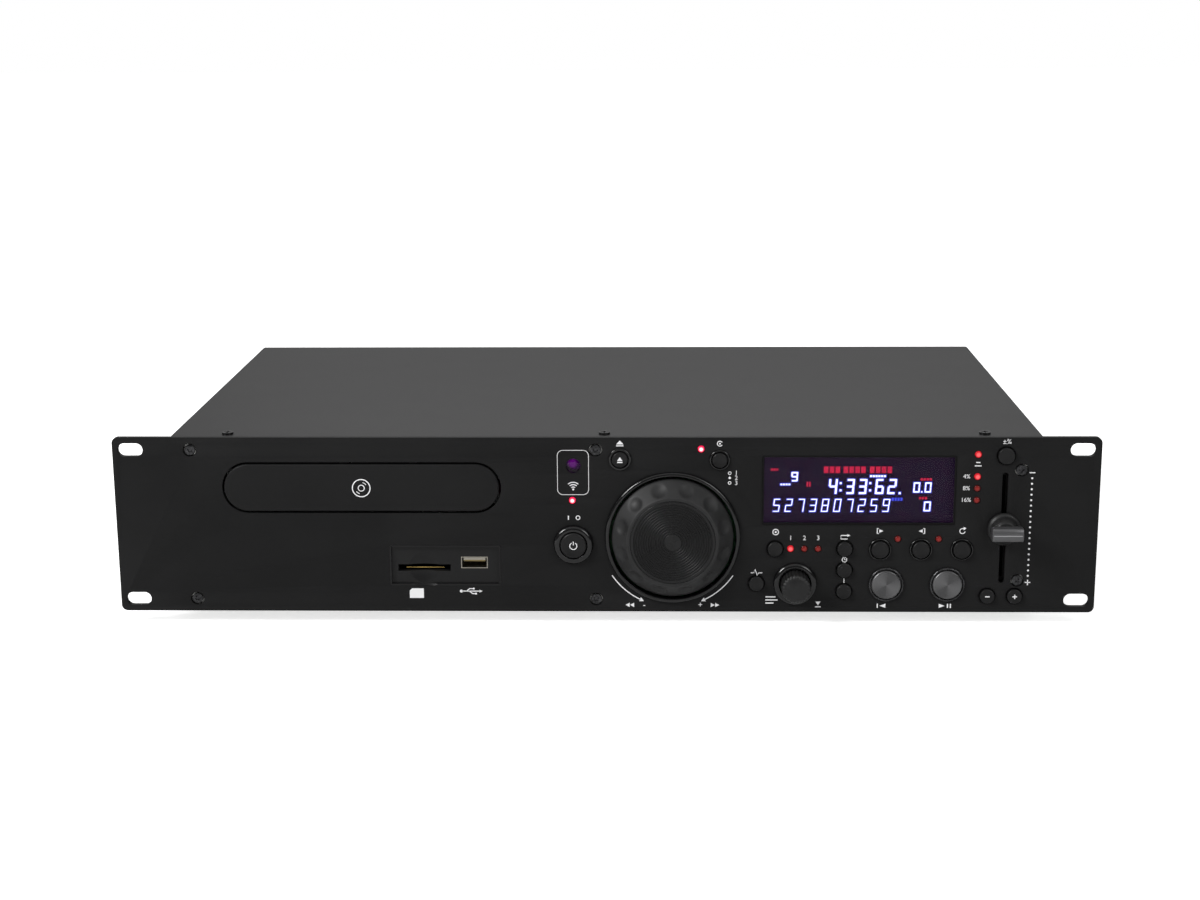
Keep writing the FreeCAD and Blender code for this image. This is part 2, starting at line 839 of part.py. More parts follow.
def front_panel():
    body = new_body(0, face_y, middle_z)
    plate = new_sketch(body, "XZ_Plane")
    half_width, half_height = S.panel_width / 2, S.panel_height / 2
    draw_rectangle(plate, -half_width, half_width, -half_height, half_height, S.panel_corner)
    extend(body, plate, S.panel_thick, backwards=True)
    openings = new_sketch(body, "XZ_Plane")
    slot_round = S.rack_slot_width / 2
    for x in (-S.rack_pitch_wide / 2, S.rack_pitch_wide / 2):
        for z in (-S.rack_pitch_tall / 2, S.rack_pitch_tall / 2):
            draw_rectangle(openings, x - S.rack_slot_length / 2, x + S.rack_slot_length / 2,
                           z - slot_round, z + slot_round, slot_round)
    draw_rectangle(openings, S.tray_x - S.door_width / 2, S.tray_x + S.door_width / 2,
                   S.door_z - S.door_height / 2, S.door_z + S.door_height / 2, S.door_height / 2)
    draw_rectangle(openings, S.display_x - S.display_width / 2, S.display_x + S.display_width / 2,
                   S.display_z - S.display_height / 2, S.display_z + S.display_height / 2, S.display_corner)
    draw_rectangle(openings, S.bay_x - S.bay_width / 2, S.bay_x + S.bay_width / 2,
                   S.bay_z - S.bay_height / 2, S.bay_z + S.bay_height / 2, S.bay_corner)
    draw_rectangle(openings, S.pitch_x - S.fader_slot_width / 2, S.pitch_x + S.fader_slot_width / 2,
                   S.fader_z - S.fader_slot_length / 2, S.fader_z + S.fader_slot_length / 2,
                   S.fader_slot_width / 2)
    pierce(body, openings, S.panel_thick * 4)
    holes = new_sketch(body, "XZ_Plane")
    for name, x, z, cap, reach, travel, ring, ring_reach in BUTTONS:
        draw_circle(holes, x, z, hole_radius(cap, ring))
    for x, z in LAMPS:
        draw_circle(holes, x, z, S.lamp_radius + S.lamp_fit)
    for x, z in PANEL_SCREWS:
        draw_circle(holes, x, z, S.screw_radius + S.lamp_fit)
    draw_circle(holes, S.sensor_x, S.sensor_z, S.sensor_radius)
    draw_circle(holes, S.knob_x, S.knob_z, hole_radius(S.knob_radius, S.encoder_ring_radius))
    draw_circle(holes, S.jog_x, S.jog_z, S.jog_radius + S.jog_gap + S.ring_wall)
    pierce(body, holes, S.panel_thick * 4)
    for x, z in PANEL_SCREWS:
        sink = body.newObject("PartDesign::SubtractiveCone", "Countersink")
        aim(sink, "y")
        bind(sink, "Radius1", S.sunk_head_radius + S.lamp_fit)
        bind(sink, "Radius2", S.screw_radius)
        bind(sink, "Height", S.sunk_head_height)
        place(sink, x, 0, z)
    finish(body, "front_panel")


def cross_recess(axis, x, y, z, depth_low, depth_high):
    """Two crossed blocks that cut a driver recess. The recess runs between the two depths along the axis."""
    half_long, half_wide = S.driver_slot_length / 2, S.driver_slot_width / 2
    arms = []
    for first, second in ((half_long, half_wide), (half_wide, half_long)):
        if axis == "y":
            arms.append(block((x - first, x + first), (depth_low, depth_high), (z - second, z + second)))
        elif axis == "z":
            arms.append(block((x - first, x + first), (y - second, y + second), (depth_low, depth_high)))
        else:
            arms.append(block((depth_low, depth_high), (y - first, y + first), (z - second, z + second)))
    return arms


def front_panel_screws():
    """Countersunk screws, flush with the panel's front face."""
    screws = []
    for x, z in PANEL_SCREWS:
        head = cone("y", S.sunk_head_radius, S.screw_radius, x, face_y, middle_z + z, S.sunk_head_height)
        shank = rod("y", S.screw_radius, x, face_y, middle_z + z, S.screw_length)
        recess = cross_recess("y", x, None, middle_z + z, face_y - 1, face_y + S.driver_slot_depth)
        screws.append(cut(join(head, shank), *recess))
    finish(group(*screws), "front_panel_screws")


# Case


def chassis():
    """Floor, side walls and front wall folded from one sheet, with pressed stands for the boards."""
    floor = block((-chassis_x, chassis_x), (back_y, rear_y - S.sheet), (floor_z, inside_z))
    walls = [
        block((x, x + S.sheet), (back_y, rear_y - S.sheet), (floor_z, chassis_top))
        for x in (-chassis_x, inside_x)
    ]
    front = block((-chassis_x, chassis_x), (back_y, wall_y), (floor_z, chassis_top))
    top_lip = block((-chassis_x, chassis_x), (back_y, wall_y + S.lip), (chassis_top - S.sheet, chassis_top))
    rear_lips = [
        block((x, x + S.rear_lip), (rear_y - 2 * S.sheet, rear_y - S.sheet), (floor_z, chassis_top))
        for x in (-chassis_x, chassis_x - S.rear_lip)
    ]
    rear_sill = block((-chassis_x, chassis_x), (rear_y - 2 * S.sheet, rear_y - S.sheet),
                      (floor_z, floor_z + S.rear_lip))
    rear_shelf = block((-chassis_x, chassis_x), (rear_y - S.sheet - S.lip, rear_y - S.sheet),
                       (chassis_top - S.sheet, chassis_top))
    rear_hem = block((-chassis_x, chassis_x), (rear_y - 2 * S.sheet, rear_y - S.sheet),
                     (chassis_top - S.rear_lip, chassis_top))
    stands = []
    for left, right, front_edge, rear_edge in (
        (S.main_left, S.main_right, S.main_front, S.main_rear),
        (S.supply_left, S.supply_right, S.supply_front, S.supply_rear),
    ):
        for x in (left + S.stand_inset, right - S.stand_inset):
            for y in (front_edge + S.stand_inset, rear_edge - S.stand_inset):
                stands.append(rod("z", S.stand_radius, x, face_y + y, floor_z, S.sheet + S.stand_height))
    frame_posts = [
        rod("z", S.frame_post_radius, S.tray_x + x, face_y + y, floor_z, middle_z + S.frame_low - floor_z)
        for x in (-S.frame_post_x, S.frame_post_x)
        for y in (S.frame_post_front, S.frame_post_rear)
    ]
    board_posts = [
        rod("y", S.board_post_radius, x, back_y, middle_z + z, board_y - back_y)
        for x in (S.panel_screw_mid_x, S.board_post_x)
        for z in (-S.board_post_z, S.board_post_z)
    ]
    shell = join(floor, *walls, front, top_lip, *rear_lips, rear_sill, rear_shelf, rear_hem,
                 *stands, *frame_posts, *board_posts)
    cuts = [
        rod("y", S.screw_radius, x, back_y - 1, middle_z + z, S.sheet + 2) for x, z in PANEL_SCREWS
    ]
    cuts += [
        rod("z", S.screw_radius, x, y, chassis_top - S.sheet - 1, S.sheet + 2) for x, y in cover_screw_places()
    ]
    cuts += [
        rod("x", S.screw_radius, x - 2, y, z, S.sheet + 4)
        for x in (-chassis_x, inside_x)
        for y, z in side_screw_places()
    ]
    cuts += [rod("y", S.screw_radius, x, rear_y - 3 * S.sheet, z, S.sheet * 3) for x, z in rear_screw_places()]
    cuts += [
        rod("z", S.foot_plug_radius, x, y, floor_z - 1, S.sheet + 2) for x, y in foot_places()
    ]
    finish(cut(shell, *front_windows(), *cuts), "chassis")


def front_windows():
    """Openings in the chassis' front wall behind the door, the bay and the controls."""
    def window(left, right, low, high):
        return block((left, right), (back_y - 1, wall_y + 1), (middle_z + low, middle_z + high))

    margin = S.slide_gap * 4
    low_edge = S.control_window_low - S.panel_height / 2
    high_edge = S.panel_height / 2 - S.control_window_high
    door_half = S.door_width / 2 + margin
    bay_half = S.bay_width / 2 + S.bay_flange + S.slide_gap
    bay_tall = S.bay_height / 2 + S.bay_flange + S.slide_gap
    strip = S.board_post_radius + S.sheet
    left_edge = S.panel_screw_mid_x - strip
    right_edge = S.panel_screw_mid_x + strip
    power_reach = hole_radius(S.power_cap_radius, S.power_ring_radius) + margin
    bend_x = bend_places[1][1]
    bend_half = S.bend_cap_radius + S.collar_extra + margin
    fader_edge = S.pitch_x + S.fader_body_width / 2 + S.slide_gap
    button_half = S.pitch_cap_radius + S.collar_extra + 2 * S.slide_gap
    return [
        window(S.tray_x - door_half, S.tray_x + door_half,
               S.door_z - S.door_height / 2 - margin, S.door_z + S.door_height / 2 + margin),
        window(S.bay_x - bay_half, S.bay_x + bay_half, S.bay_z - bay_tall, S.bay_z + bay_tall),
        window(S.power_x - power_reach, left_edge, S.power_z - power_reach, S.sensor_z + S.sensor_radius + margin),
        window(right_edge, fader_edge, low_edge, high_edge),
        window(bend_x - bend_half, bend_x + bend_half, S.bend_z - bend_half, S.bend_z + bend_half),
        window(S.pitch_x, S.pitch_x + button_half, S.pitch_button_z - button_half, high_edge),
    ]


def cover_screw_places():
    """The three screws behind the panel. The cover's rear is held by the screws in its sides."""
    return [(x, face_y + S.cover_screw_y) for x in (-S.cover_screw_x, as_size(0), S.cover_screw_x)]


def side_screw_places():
    return [(face_y + y, middle_z + S.side_screw_z - 2 * S.side_screw_z * low)
            for y in (S.side_screw_front_y, S.side_screw_rear_y) for low in (0, 1)]


def rear_screw_places():
    edge = chassis_x - S.rear_lip / 2
    return [(x, middle_z + z) for x in (-edge, edge) for z in (-S.rear_screw_z, S.rear_screw_z)]


def foot_places():
    return [(x, face_y + y) for x in (-S.foot_x, S.foot_x) for y in (S.foot_front_y, S.foot_rear_y)]


def top_cover():
    """Roof and sides folded from one sheet."""
    body = new_body(0, back_y, 0)
    section = new_sketch(body, "XZ_Plane")
    inner = side_x - S.sheet
    low = floor_z
    bend, inner_bend = S.cover_bend, S.cover_bend - S.sheet
    draw_loop(section, [
        (-side_x, low), (-inner, low), (-inner, ceiling_z, inner_bend), (inner, ceiling_z, inner_bend),
        (inner, low), (side_x, low), (side_x, roof_z, bend), (-side_x, roof_z, bend),
    ])
    extend(body, section, rear_y - back_y, backwards=True)
    roof_holes = new_sketch(body, "XY_Plane", ceiling_z)
    for x, y in cover_screw_places():
        draw_circle(roof_holes, x, y - back_y, S.screw_radius + S.lamp_fit)
    pierce(body, roof_holes, S.sheet * 4)
    side_holes = new_sketch(body, "YZ_Plane")
    for y, z in side_screw_places():
        draw_circle(side_holes, y - back_y, z, S.screw_radius + S.lamp_fit)
    pierce(body, side_holes, S.case_width * 2)
    finish(body, "top_cover")


def rear_panel():
    body = new_body(0, rear_y - S.sheet, 0)
    plate = new_sketch(body, "XZ_Plane")
    edge = side_x - S.sheet - S.cover_gap
    draw_rectangle(plate, -edge, edge, floor_z, chassis_top)
    extend(body, plate, S.sheet, backwards=True)
    holes = new_sketch(body, "XZ_Plane")
    for x, z in rear_screw_places():
        draw_circle(holes, x, z, S.screw_radius + S.lamp_fit)
    for x in jack_places():
        draw_circle(holes, x, middle_z + S.jack_z, S.jack_hole_radius)
    inlet_half, inlet_tall = S.inlet_width / 2, S.inlet_height / 2
    draw_rectangle(holes, S.inlet_x - inlet_half, S.inlet_x + inlet_half,
                   middle_z + S.inlet_z - inlet_tall, middle_z + S.inlet_z + inlet_tall)
    for x, z in inlet_screw_places():
        draw_circle(holes, x, z, S.screw_radius + S.lamp_fit)
    pierce(body, holes, S.sheet * 4)
    finish(body, "rear_panel")


def jack_places():
    return [S.jack_x + S.jack_pitch * i for i in range(SIZES["jack_count"])]


def inlet_screw_places():
    reach = S.inlet_width / 2 + S.inlet_screw_out
    return [(S.inlet_x + side * reach, middle_z + S.inlet_z) for side in (-1, 1)]


def pan_screw(axis, x, y, z, outward):
    """A pan-head screw whose head sits on a face. Outward is 1 where the head stands towards +axis."""
    def run(start, length):
        return (start, start + length) if outward > 0 else (start - length, start)

    places = {"x": x, "y": y, "z": z}
    seat = places[axis]
    parts = []
    for radius, (low, high) in ((S.pan_head_radius, run(seat, S.pan_head_height)),
                                (S.screw_radius, run(seat, -S.screw_length) if outward > 0
                                 else run(seat, -S.screw_length))):
        spot = dict(places)
        start, end = (low, high) if low.value < high.value else (high, low)
        spot[axis] = start
        parts.append(rod(axis, radius, spot["x"], spot["y"], spot["z"], end - start))
    top = seat + S.pan_head_height * outward
    bottom = top - S.driver_slot_depth * outward
    span = (bottom, top + 1) if outward > 0 else (top - 1, bottom)
    return cut(join(*parts), *cross_recess(axis, x, y, z, *span))


def case_screws():
    """Pan-head screws through the cover, its sides and the rear panel."""
    screws = [pan_screw("z", x, y, roof_z, 1) for x, y in cover_screw_places()]
    for side, face in ((-1, -side_x), (1, side_x)):
        screws += [pan_screw("x", face, y, z, side) for y, z in side_screw_places()]
    screws += [pan_screw("y", x, rear_y, z, 1) for x, z in rear_screw_places()]
    finish(group(*screws), "case_screws")


def rubber_feet():
    """Round feet with a flat base, each held by its own plug in the floor."""
    feet = []
    for x, y in foot_places():
        feet.append(upright_lathe([
            (0, 0), (S.foot_radius - S.foot_taper - S.foot_round, 0), (S.foot_radius - S.foot_taper, S.foot_round),
            (S.foot_radius, S.foot_height), (S.foot_plug_radius, S.foot_height),
            (S.foot_plug_radius, S.foot_height + S.foot_plug_length), (0, S.foot_height + S.foot_plug_length),
        ], x, y, 0))
    finish(group(*feet), "rubber_feet")


# Buttons and their rings


def buttons():
    """Each cap with its collar and stem. The collar is wider than the hole and stops the cap falling out."""
    for name, x, z, cap, reach, travel, ring, ring_reach in BUTTONS:
        collar_front = S.panel_thick + S.slide_gap
        stem_end = S.board_back - S.switch_depth - travel - S.slide_gap
        body = lathe([
            (0, -reach), (cap, -reach, S.cap_round), (cap, collar_front),
            (cap + S.collar_extra, collar_front), (cap + S.collar_extra, collar_front + S.collar_thick),
            (S.stem_radius, collar_front + S.collar_thick), (S.stem_radius, stem_end), (0, stem_end),
        ], x, face_y, middle_z + z)
        finish(body, f"{name}_button")


def button_rings():
    """Trim rings that line the panel's holes round some buttons and the track knob."""
    rings = [(x, z, cap, ring, reach) for _, x, z, cap, _, _, ring, reach in BUTTONS if ring is not None]
    rings.append((S.knob_x, S.knob_z, S.knob_radius, S.encoder_ring_radius, S.encoder_ring_reach))
    made = []
    for x, z, cap, outer, reach in rings:
        inner = cap + S.slide_gap
        tube = inner + S.ring_wall
        made.append(lathe([
            (inner, -reach, S.ring_round), (outer, -reach, S.ring_round), (outer, 0), (tube, 0),
            (tube, S.panel_thick), (inner, S.panel_thick),
        ], x, face_y, middle_z + z))
    finish(group(*made), "button_rings")


# Jog wheel


def jog_ring():
    inner = S.jog_radius + S.jog_gap
    tube = inner + S.ring_wall
    finish(lathe([
        (inner, -S.jog_ring_reach, S.ring_round), (S.jog_ring_radius, -S.jog_ring_reach, S.ring_round * 2),
        (S.jog_ring_radius, 0), (tube, 0), (tube, S.panel_thick), (inner, S.panel_thick),
    ], S.jog_x, face_y, middle_z + S.jog_z), "jog_ring")


def jog_wheel():
    """A hollow wheel with a sloping rim, finger dimples in the rim and a seat for the pad."""
    seat = -S.jog_face_reach + S.jog_pad_thick
    inner_face = seat + S.jog_wall
    wall = S.jog_wall
    hub_end = S.board_back - S.jog_axle_base - S.slide_gap
    bore = S.jog_axle_radius + S.turn_gap
    body = lathe([
        (bore, inner_face), (bore, hub_end), (S.jog_hub_radius, hub_end), (S.jog_hub_radius, inner_face),
        (S.jog_face_radius - wall, inner_face), (S.jog_radius - wall, wall - S.jog_edge_reach),
        (S.jog_radius - wall, S.jog_skirt), (S.jog_radius, S.jog_skirt), (S.jog_radius, -S.jog_edge_reach),
        (S.jog_face_radius, -S.jog_face_reach), (S.jog_pad_radius + S.lamp_fit, -S.jog_face_reach),
        (S.jog_pad_radius + S.lamp_fit, seat), (0, seat), (0, seat + wall / 2), (bore, seat + wall / 2),
    ], S.jog_x, face_y, middle_z + S.jog_z)
    slope = (S.jog_face_reach - S.jog_edge_reach) / (S.jog_radius - S.jog_face_radius)
    surface = S.jog_edge_reach + (S.jog_radius - S.dimple_orbit) * slope
    length = root_of(slope * slope + 1)
    stand = S.dimple_sphere - S.dimple_depth
    dimple = body.newObject("PartDesign::SubtractiveSphere", "Dimple")
    bind(dimple, "Radius", S.dimple_sphere)
    half_step = 180 / S.dimple_count
    out = S.dimple_orbit + stand * slope / length
    place(dimple, Size(out.value * math.sin(math.radians(half_step.value)),
                       f"({out.formula} * sin({half_step.formula} * 1 deg))"),
          -surface - stand / length,
          Size(out.value * math.cos(math.radians(half_step.value)),
               f"({out.formula} * cos({half_step.formula} * 1 deg))"))
    repeat_round(body, [dimple], "Y_Axis", S.dimple_count)
    finish(body, "jog_wheel")
    pad = lathe([
        (0, -S.jog_face_reach), (S.jog_pad_radius, -S.jog_face_reach, S.ring_round),
        (S.jog_pad_radius, -S.jog_face_reach + S.jog_pad_thick), (0, -S.jog_face_reach + S.jog_pad_thick),
    ], S.jog_x, face_y, middle_z + S.jog_z)
    finish(pad, "jog_pad")


def jog_axle():
    """The fixed pin that the wheel turns on, with its flange on the control board."""
    seat = -S.jog_face_reach + S.jog_pad_thick
    tip = seat + S.jog_wall / 2 + S.slide_gap
    finish(lathe([
        (0, tip), (S.jog_axle_radius, tip), (S.jog_axle_radius, S.board_back - S.jog_axle_base),
        (S.jog_axle_flange, S.board_back - S.jog_axle_base), (S.jog_axle_flange, S.board_back),
        (0, S.board_back),
    ], S.jog_x, face_y, middle_z + S.jog_z), "jog_axle")


# Track knob


def track_knob():
    bore = S.encoder_shaft_radius + S.turn_gap
    rim = S.slide_gap
    body = lathe([
        (0, -S.knob_reach), (S.knob_radius, -S.knob_reach, S.knob_round), (S.knob_radius, rim),
        (S.knob_radius - S.knob_wall, rim), (S.knob_radius - S.knob_wall, -S.knob_reach + 2 * S.knob_round),
        (bore + S.knob_wall, -S.knob_reach + 2 * S.knob_round), (bore + S.knob_wall, rim), (bore, rim),
        (bore, -S.knob_reach + S.knob_round), (0, -S.knob_reach + S.knob_round),
    ], S.knob_x, face_y, middle_z + S.knob_z)
    groove = body.newObject("PartDesign::SubtractiveCylinder", "Groove")
    aim(groove, "y")
    bind(groove, "Radius", S.knob_groove_radius)
    bind(groove, "Height", S.knob_reach * 2)
    place(groove, S.knob_radius, -S.knob_reach - 1, 0)
    repeat_round(body, [groove], "Y_Axis", S.knob_grooves)
    finish(body, "track_knob")
    tip = -S.knob_reach + S.knob_round + S.slide_gap
    shaft_end = S.board_back - S.encoder_push - S.slide_gap * 2
    finish(lathe([
        (0, tip), (S.encoder_shaft_radius, tip), (S.encoder_shaft_radius, shaft_end), (0, shaft_end),
    ], S.knob_x, face_y, middle_z + S.knob_z), "encoder_shaft")


# Pitch fader

fader_z = middle_z + S.fader_z


def fader_track():
    """A box channel behind the panel, on a plate whose ears take two of the panel's screws."""
    half = S.fader_body_width / 2
    reach = S.fader_travel + S.fader_lever_tall / 2 + S.fader_body_over
    front, rear = wall_y, wall_y + S.fader_body_depth
    channel = block((S.pitch_x - half, S.pitch_x + half), (front, rear), (fader_z - reach, fader_z + reach))
    ears = [
        block((S.pitch_x + half - S.sheet, S.panel_screw_x + S.sunk_head_radius), (front, front + S.sheet),
              (middle_z + z - S.sunk_head_radius, middle_z + z + S.sunk_head_radius))
        for z in (-S.panel_screw_low_z, S.panel_screw_low_z)
    ]
    wall = S.fader_body_wall
    hollow = block((S.pitch_x - half + wall, S.pitch_x + half - wall), (front + wall, rear - wall),
                   (fader_z - reach + wall, fader_z + reach - wall))
    slot_half = S.fader_lever_thick / 2 + S.slide_gap
    slot_reach = S.fader_travel + S.fader_lever_tall / 2 + S.slide_gap
    slot = block((S.pitch_x - slot_half, S.pitch_x + slot_half), (front - 1, front + wall * 2),
                 (fader_z - slot_reach, fader_z + slot_reach))
    screws = [
        rod("y", S.screw_radius, S.panel_screw_x, front - 1, middle_z + z, S.sheet + 2)
        for z in (-S.panel_screw_low_z, S.panel_screw_low_z)
    ]
    finish(cut(join(channel, *ears), hollow, slot, *screws), "fader_track")


def pitch_slider():
    """The lever with its carriage, and the knob on the lever."""
    wall = S.fader_body_wall
    half = S.fader_body_width / 2 - wall - S.slide_gap
    front = wall_y + wall + S.slide_gap
    carriage = block((S.pitch_x - half, S.pitch_x + half), (front, wall_y + S.fader_body_depth - wall - S.slide_gap),
                     (fader_z - S.fader_lever_tall, fader_z + S.fader_lever_tall))
    lever_half, lever_tall = S.fader_lever_thick / 2, S.fader_lever_tall / 2
    lever_tip = face_y - S.fader_neck_reach
    lever = block((S.pitch_x - lever_half, S.pitch_x + lever_half), (lever_tip, front + 1),
                  (fader_z - lever_tall, fader_z + lever_tall))
    finish(join(carriage, lever), "pitch_carriage")
    back = -S.fader_skirt_gap
    knob = lathe([
        (0, -S.fader_neck_reach - 1), (S.fader_neck_radius - 2, -S.fader_neck_reach - 1),
        (S.fader_neck_radius, back - S.fader_skirt_thick - 2), (S.fader_neck_radius, back - S.fader_skirt_thick),
        (S.fader_skirt_radius, back - S.fader_skirt_thick, S.cap_round), (S.fader_skirt_radius, back), (0, back),
    ], S.pitch_x, face_y, fader_z)
    bar = new_body(S.pitch_x, face_y - S.fader_neck_reach, fader_z)
    outline = new_sketch(bar, "XZ_Plane")
    bar_half, bar_tall = S.fader_bar_width / 2, S.fader_bar_tall / 2
    draw_rectangle(outline, -bar_half, bar_half, -bar_tall, bar_tall, S.fader_bar_round)
    extend(bar, outline, S.fader_bar_reach - S.fader_neck_reach)
    slot = block((S.pitch_x - lever_half, S.pitch_x + lever_half), (lever_tip, face_y),
                 (fader_z - lever_tall, fader_z + lever_tall))
    finish(cut(join(knob, bar), slot), "pitch_knob")


# Lamps, windows and display


def lamps():
    """Round lamps that stand on the control board and come through the panel."""
    made = []
    for x, z in LAMPS:
        made.append(lathe([
            (0, -S.lamp_reach), (S.lamp_radius, -S.lamp_reach, S.lamp_reach), (S.lamp_radius, S.board_back),
            (0, S.board_back),
        ], x, face_y, middle_z + z))
    finish(group(*made), "lamps")


def sensor_window():
    flange = S.sensor_radius + S.collar_extra
    finish(lathe([
        (0, S.sensor_sunk), (S.sensor_radius, S.sensor_sunk), (S.sensor_radius, S.panel_thick),
        (flange, S.panel_thick), (flange, S.panel_thick + S.sheet), (S.sensor_radius, S.panel_thick + S.sheet),
        (S.sensor_radius, S.board_back), (0, S.board_back),
    ], S.sensor_x, face_y, middle_z + S.sensor_z), "sensor_window")


def display():
    """A smoked window that fills the panel's opening from behind, and the lit tube on the board."""
    body = new_body(S.display_x, face_y, middle_z + S.display_z)
    half, tall = S.display_width / 2, S.display_height / 2
    pane = new_sketch(body, "XZ_Plane", -S.display_sunk)
    draw_rectangle(pane, -half, half, -tall, tall, S.display_corner)
    extend(body, pane, S.panel_thick - S.display_sunk, backwards=True)
    flange = new_sketch(body, "XZ_Plane", -S.panel_thick)
    draw_rectangle(flange, -half - S.display_flange, half + S.display_flange,
                   -tall - S.display_flange, tall + S.display_flange)
    extend(body, flange, S.sheet, backwards=True)
    finish(body, "display_window")
    glass_rear = wall_y + S.display_glass_thick
    centre_z = middle_z + S.display_z
    glass = block((S.display_x - half, S.display_x + half), (wall_y, glass_rear), (centre_z - tall, centre_z + tall))
    foot = block((S.display_x - half + 4, S.display_x + half - 4), (glass_rear, board_y),
                 (centre_z - tall + 3, centre_z + tall - 3))
    finish(join(glass, foot), "display_tube")


# Bay with the card slot and the data port


def media_bay():
    """A sunken plate in its own frame, with a finger scoop under the card slot."""
    half, tall = S.bay_width / 2, S.bay_height / 2
    body = new_body(S.bay_x, face_y, middle_z + S.bay_z)
    plug = new_sketch(body, "XZ_Plane")
    draw_rectangle(plug, -half, half, -tall, tall, S.bay_corner)
    extend(body, plug, S.panel_thick + S.bay_wall, backwards=True)
    flange = new_sketch(body, "XZ_Plane", -S.panel_thick)
    draw_rectangle(flange, -half - S.bay_flange, half + S.bay_flange, -tall - S.bay_flange, tall + S.bay_flange)
    extend(body, flange, S.bay_wall, backwards=True)
    sunk = new_sketch(body, "XZ_Plane")
    rim = S.ring_wall
    draw_rectangle(sunk, -half + rim, half - rim, -tall + rim, tall - rim)
    pierce(body, sunk, S.bay_sunk * 2)
    mouths = new_sketch(body, "XZ_Plane")
    for x, z, width, height in ((S.card_x, S.card_z, S.card_width, S.card_height),
                                (S.port_x, S.port_z, S.port_width, S.port_height)):
        left, low = x - width / 2 - S.bay_x, z - height / 2 - S.bay_z
        draw_rectangle(mouths, left, left + width, low, low + height)
    pierce(body, mouths, S.panel_thick * 6)
    scoop = body.newObject("PartDesign::SubtractiveSphere", "Scoop")
    bind(scoop, "Radius", S.card_scoop_sphere)
    place(scoop, S.card_x - S.bay_x, S.bay_sunk + S.card_scoop_depth - S.card_scoop_sphere, S.card_z - S.bay_z)
    body.Tip = scoop
    finish(body, "media_bay")


def card_slot():
    """The card connector behind the bay, with the mouth that the card goes into."""
    half, tall = S.card_width / 2, S.card_height / 2
    front, rear = back_y + S.bay_wall, back_y + S.bay_wall + S.card_depth
    x, z = S.card_x, middle_z + S.card_z
    wall = S.port_wall * 2
    shell = block((x - half - wall, x + half + wall), (front, rear), (z - tall - wall, z + tall + wall))
    mouth = block((x - half, x + half), (front - 1, rear - wall * 2), (z - tall, z + tall))
    contacts = block((x - half, x + half), (rear - S.card_depth / 2, rear - wall * 2), (z + tall - wall, z + tall))
    finish(join(cut(shell, mouth), contacts), "card_slot")


def data_port():
    """The metal shell and the plastic tongue of the data port."""
    half, tall = S.port_width / 2, S.port_height / 2
    front, rear = face_y + S.bay_sunk, face_y + S.bay_sunk + S.port_depth
    x, z = S.port_x, middle_z + S.port_z
    wall = S.port_wall
    shell = block((x - half, x + half), (front, rear), (z - tall, z + tall))
    inside = block((x - half + wall, x + half - wall), (front - 1, rear - wall * 3),
                   (z - tall + wall, z + tall - wall))
    tongue = block((x - half + wall * 3, x + half - wall * 3), (front + S.sheet, rear - wall),
                   (z + tall - wall * 2 - S.port_tongue_thick, z + tall - wall * 2))
    finish(join(cut(shell, inside), tongue), "data_port")


def control_board():
    """The board behind the panel with a switch for each button and the encoder's body."""
    low, high = middle_z - S.board_tall / 2, middle_z + S.board_tall / 2
    board = block((S.board_left, S.board_right), (board_y, board_y + S.board_thick), (low, high))
    half = S.switch_size / 2
    switches = [
        block((x - half, x + half), (board_y - S.switch_depth, board_y), (middle_z + z - half, middle_z + z + half))
        for _, x, z, *_ in BUTTONS
    ]
    reach = S.encoder_body / 2
    knob_z = middle_z + S.knob_z
    encoder = block((S.knob_x - reach, S.knob_x + reach), (board_y - S.encoder_body_depth, board_y),
                    (knob_z - reach, knob_z + reach))
    bore = rod("y", S.encoder_shaft_radius + S.turn_gap, S.knob_x, board_y - S.encoder_body_depth - 1, knob_z,
               S.encoder_body_depth + 1 - S.slide_gap)
    finish(cut(join(board, *switches, encoder), bore), "control_board")


# Disc tray


def tray_door():
    body = new_body(S.tray_x, face_y, middle_z + S.door_z)
    outline = new_sketch(body, "XZ_Plane", S.door_reach)
    half, tall = S.door_width / 2 - S.door_gap, S.door_height / 2 - S.door_gap
    draw_rectangle(outline, -half, half, -tall, tall, tall)
    plate = extend(body, outline, S.door_thick, backwards=True)
    body.recompute(True)
    front = [
        f"Edge{i}" for i, edge in enumerate(plate.Shape.Edges, start=1)
        if edge.BoundBox.YMax < CLOSE - S.door_reach.value
    ]
    rounding = body.newObject("PartDesign::Fillet", "Round")
    rounding.Base = (plate, front)
    bind(rounding, "Radius", S.door_round)
    finish(body, "tray_door")


tray_low_z = middle_z + S.tray_low
tray_high_z = tray_low_z + S.tray_thick
disc_seat_z = tray_low_z + S.tray_floor
tray_rear = tray_front + S.tray_depth


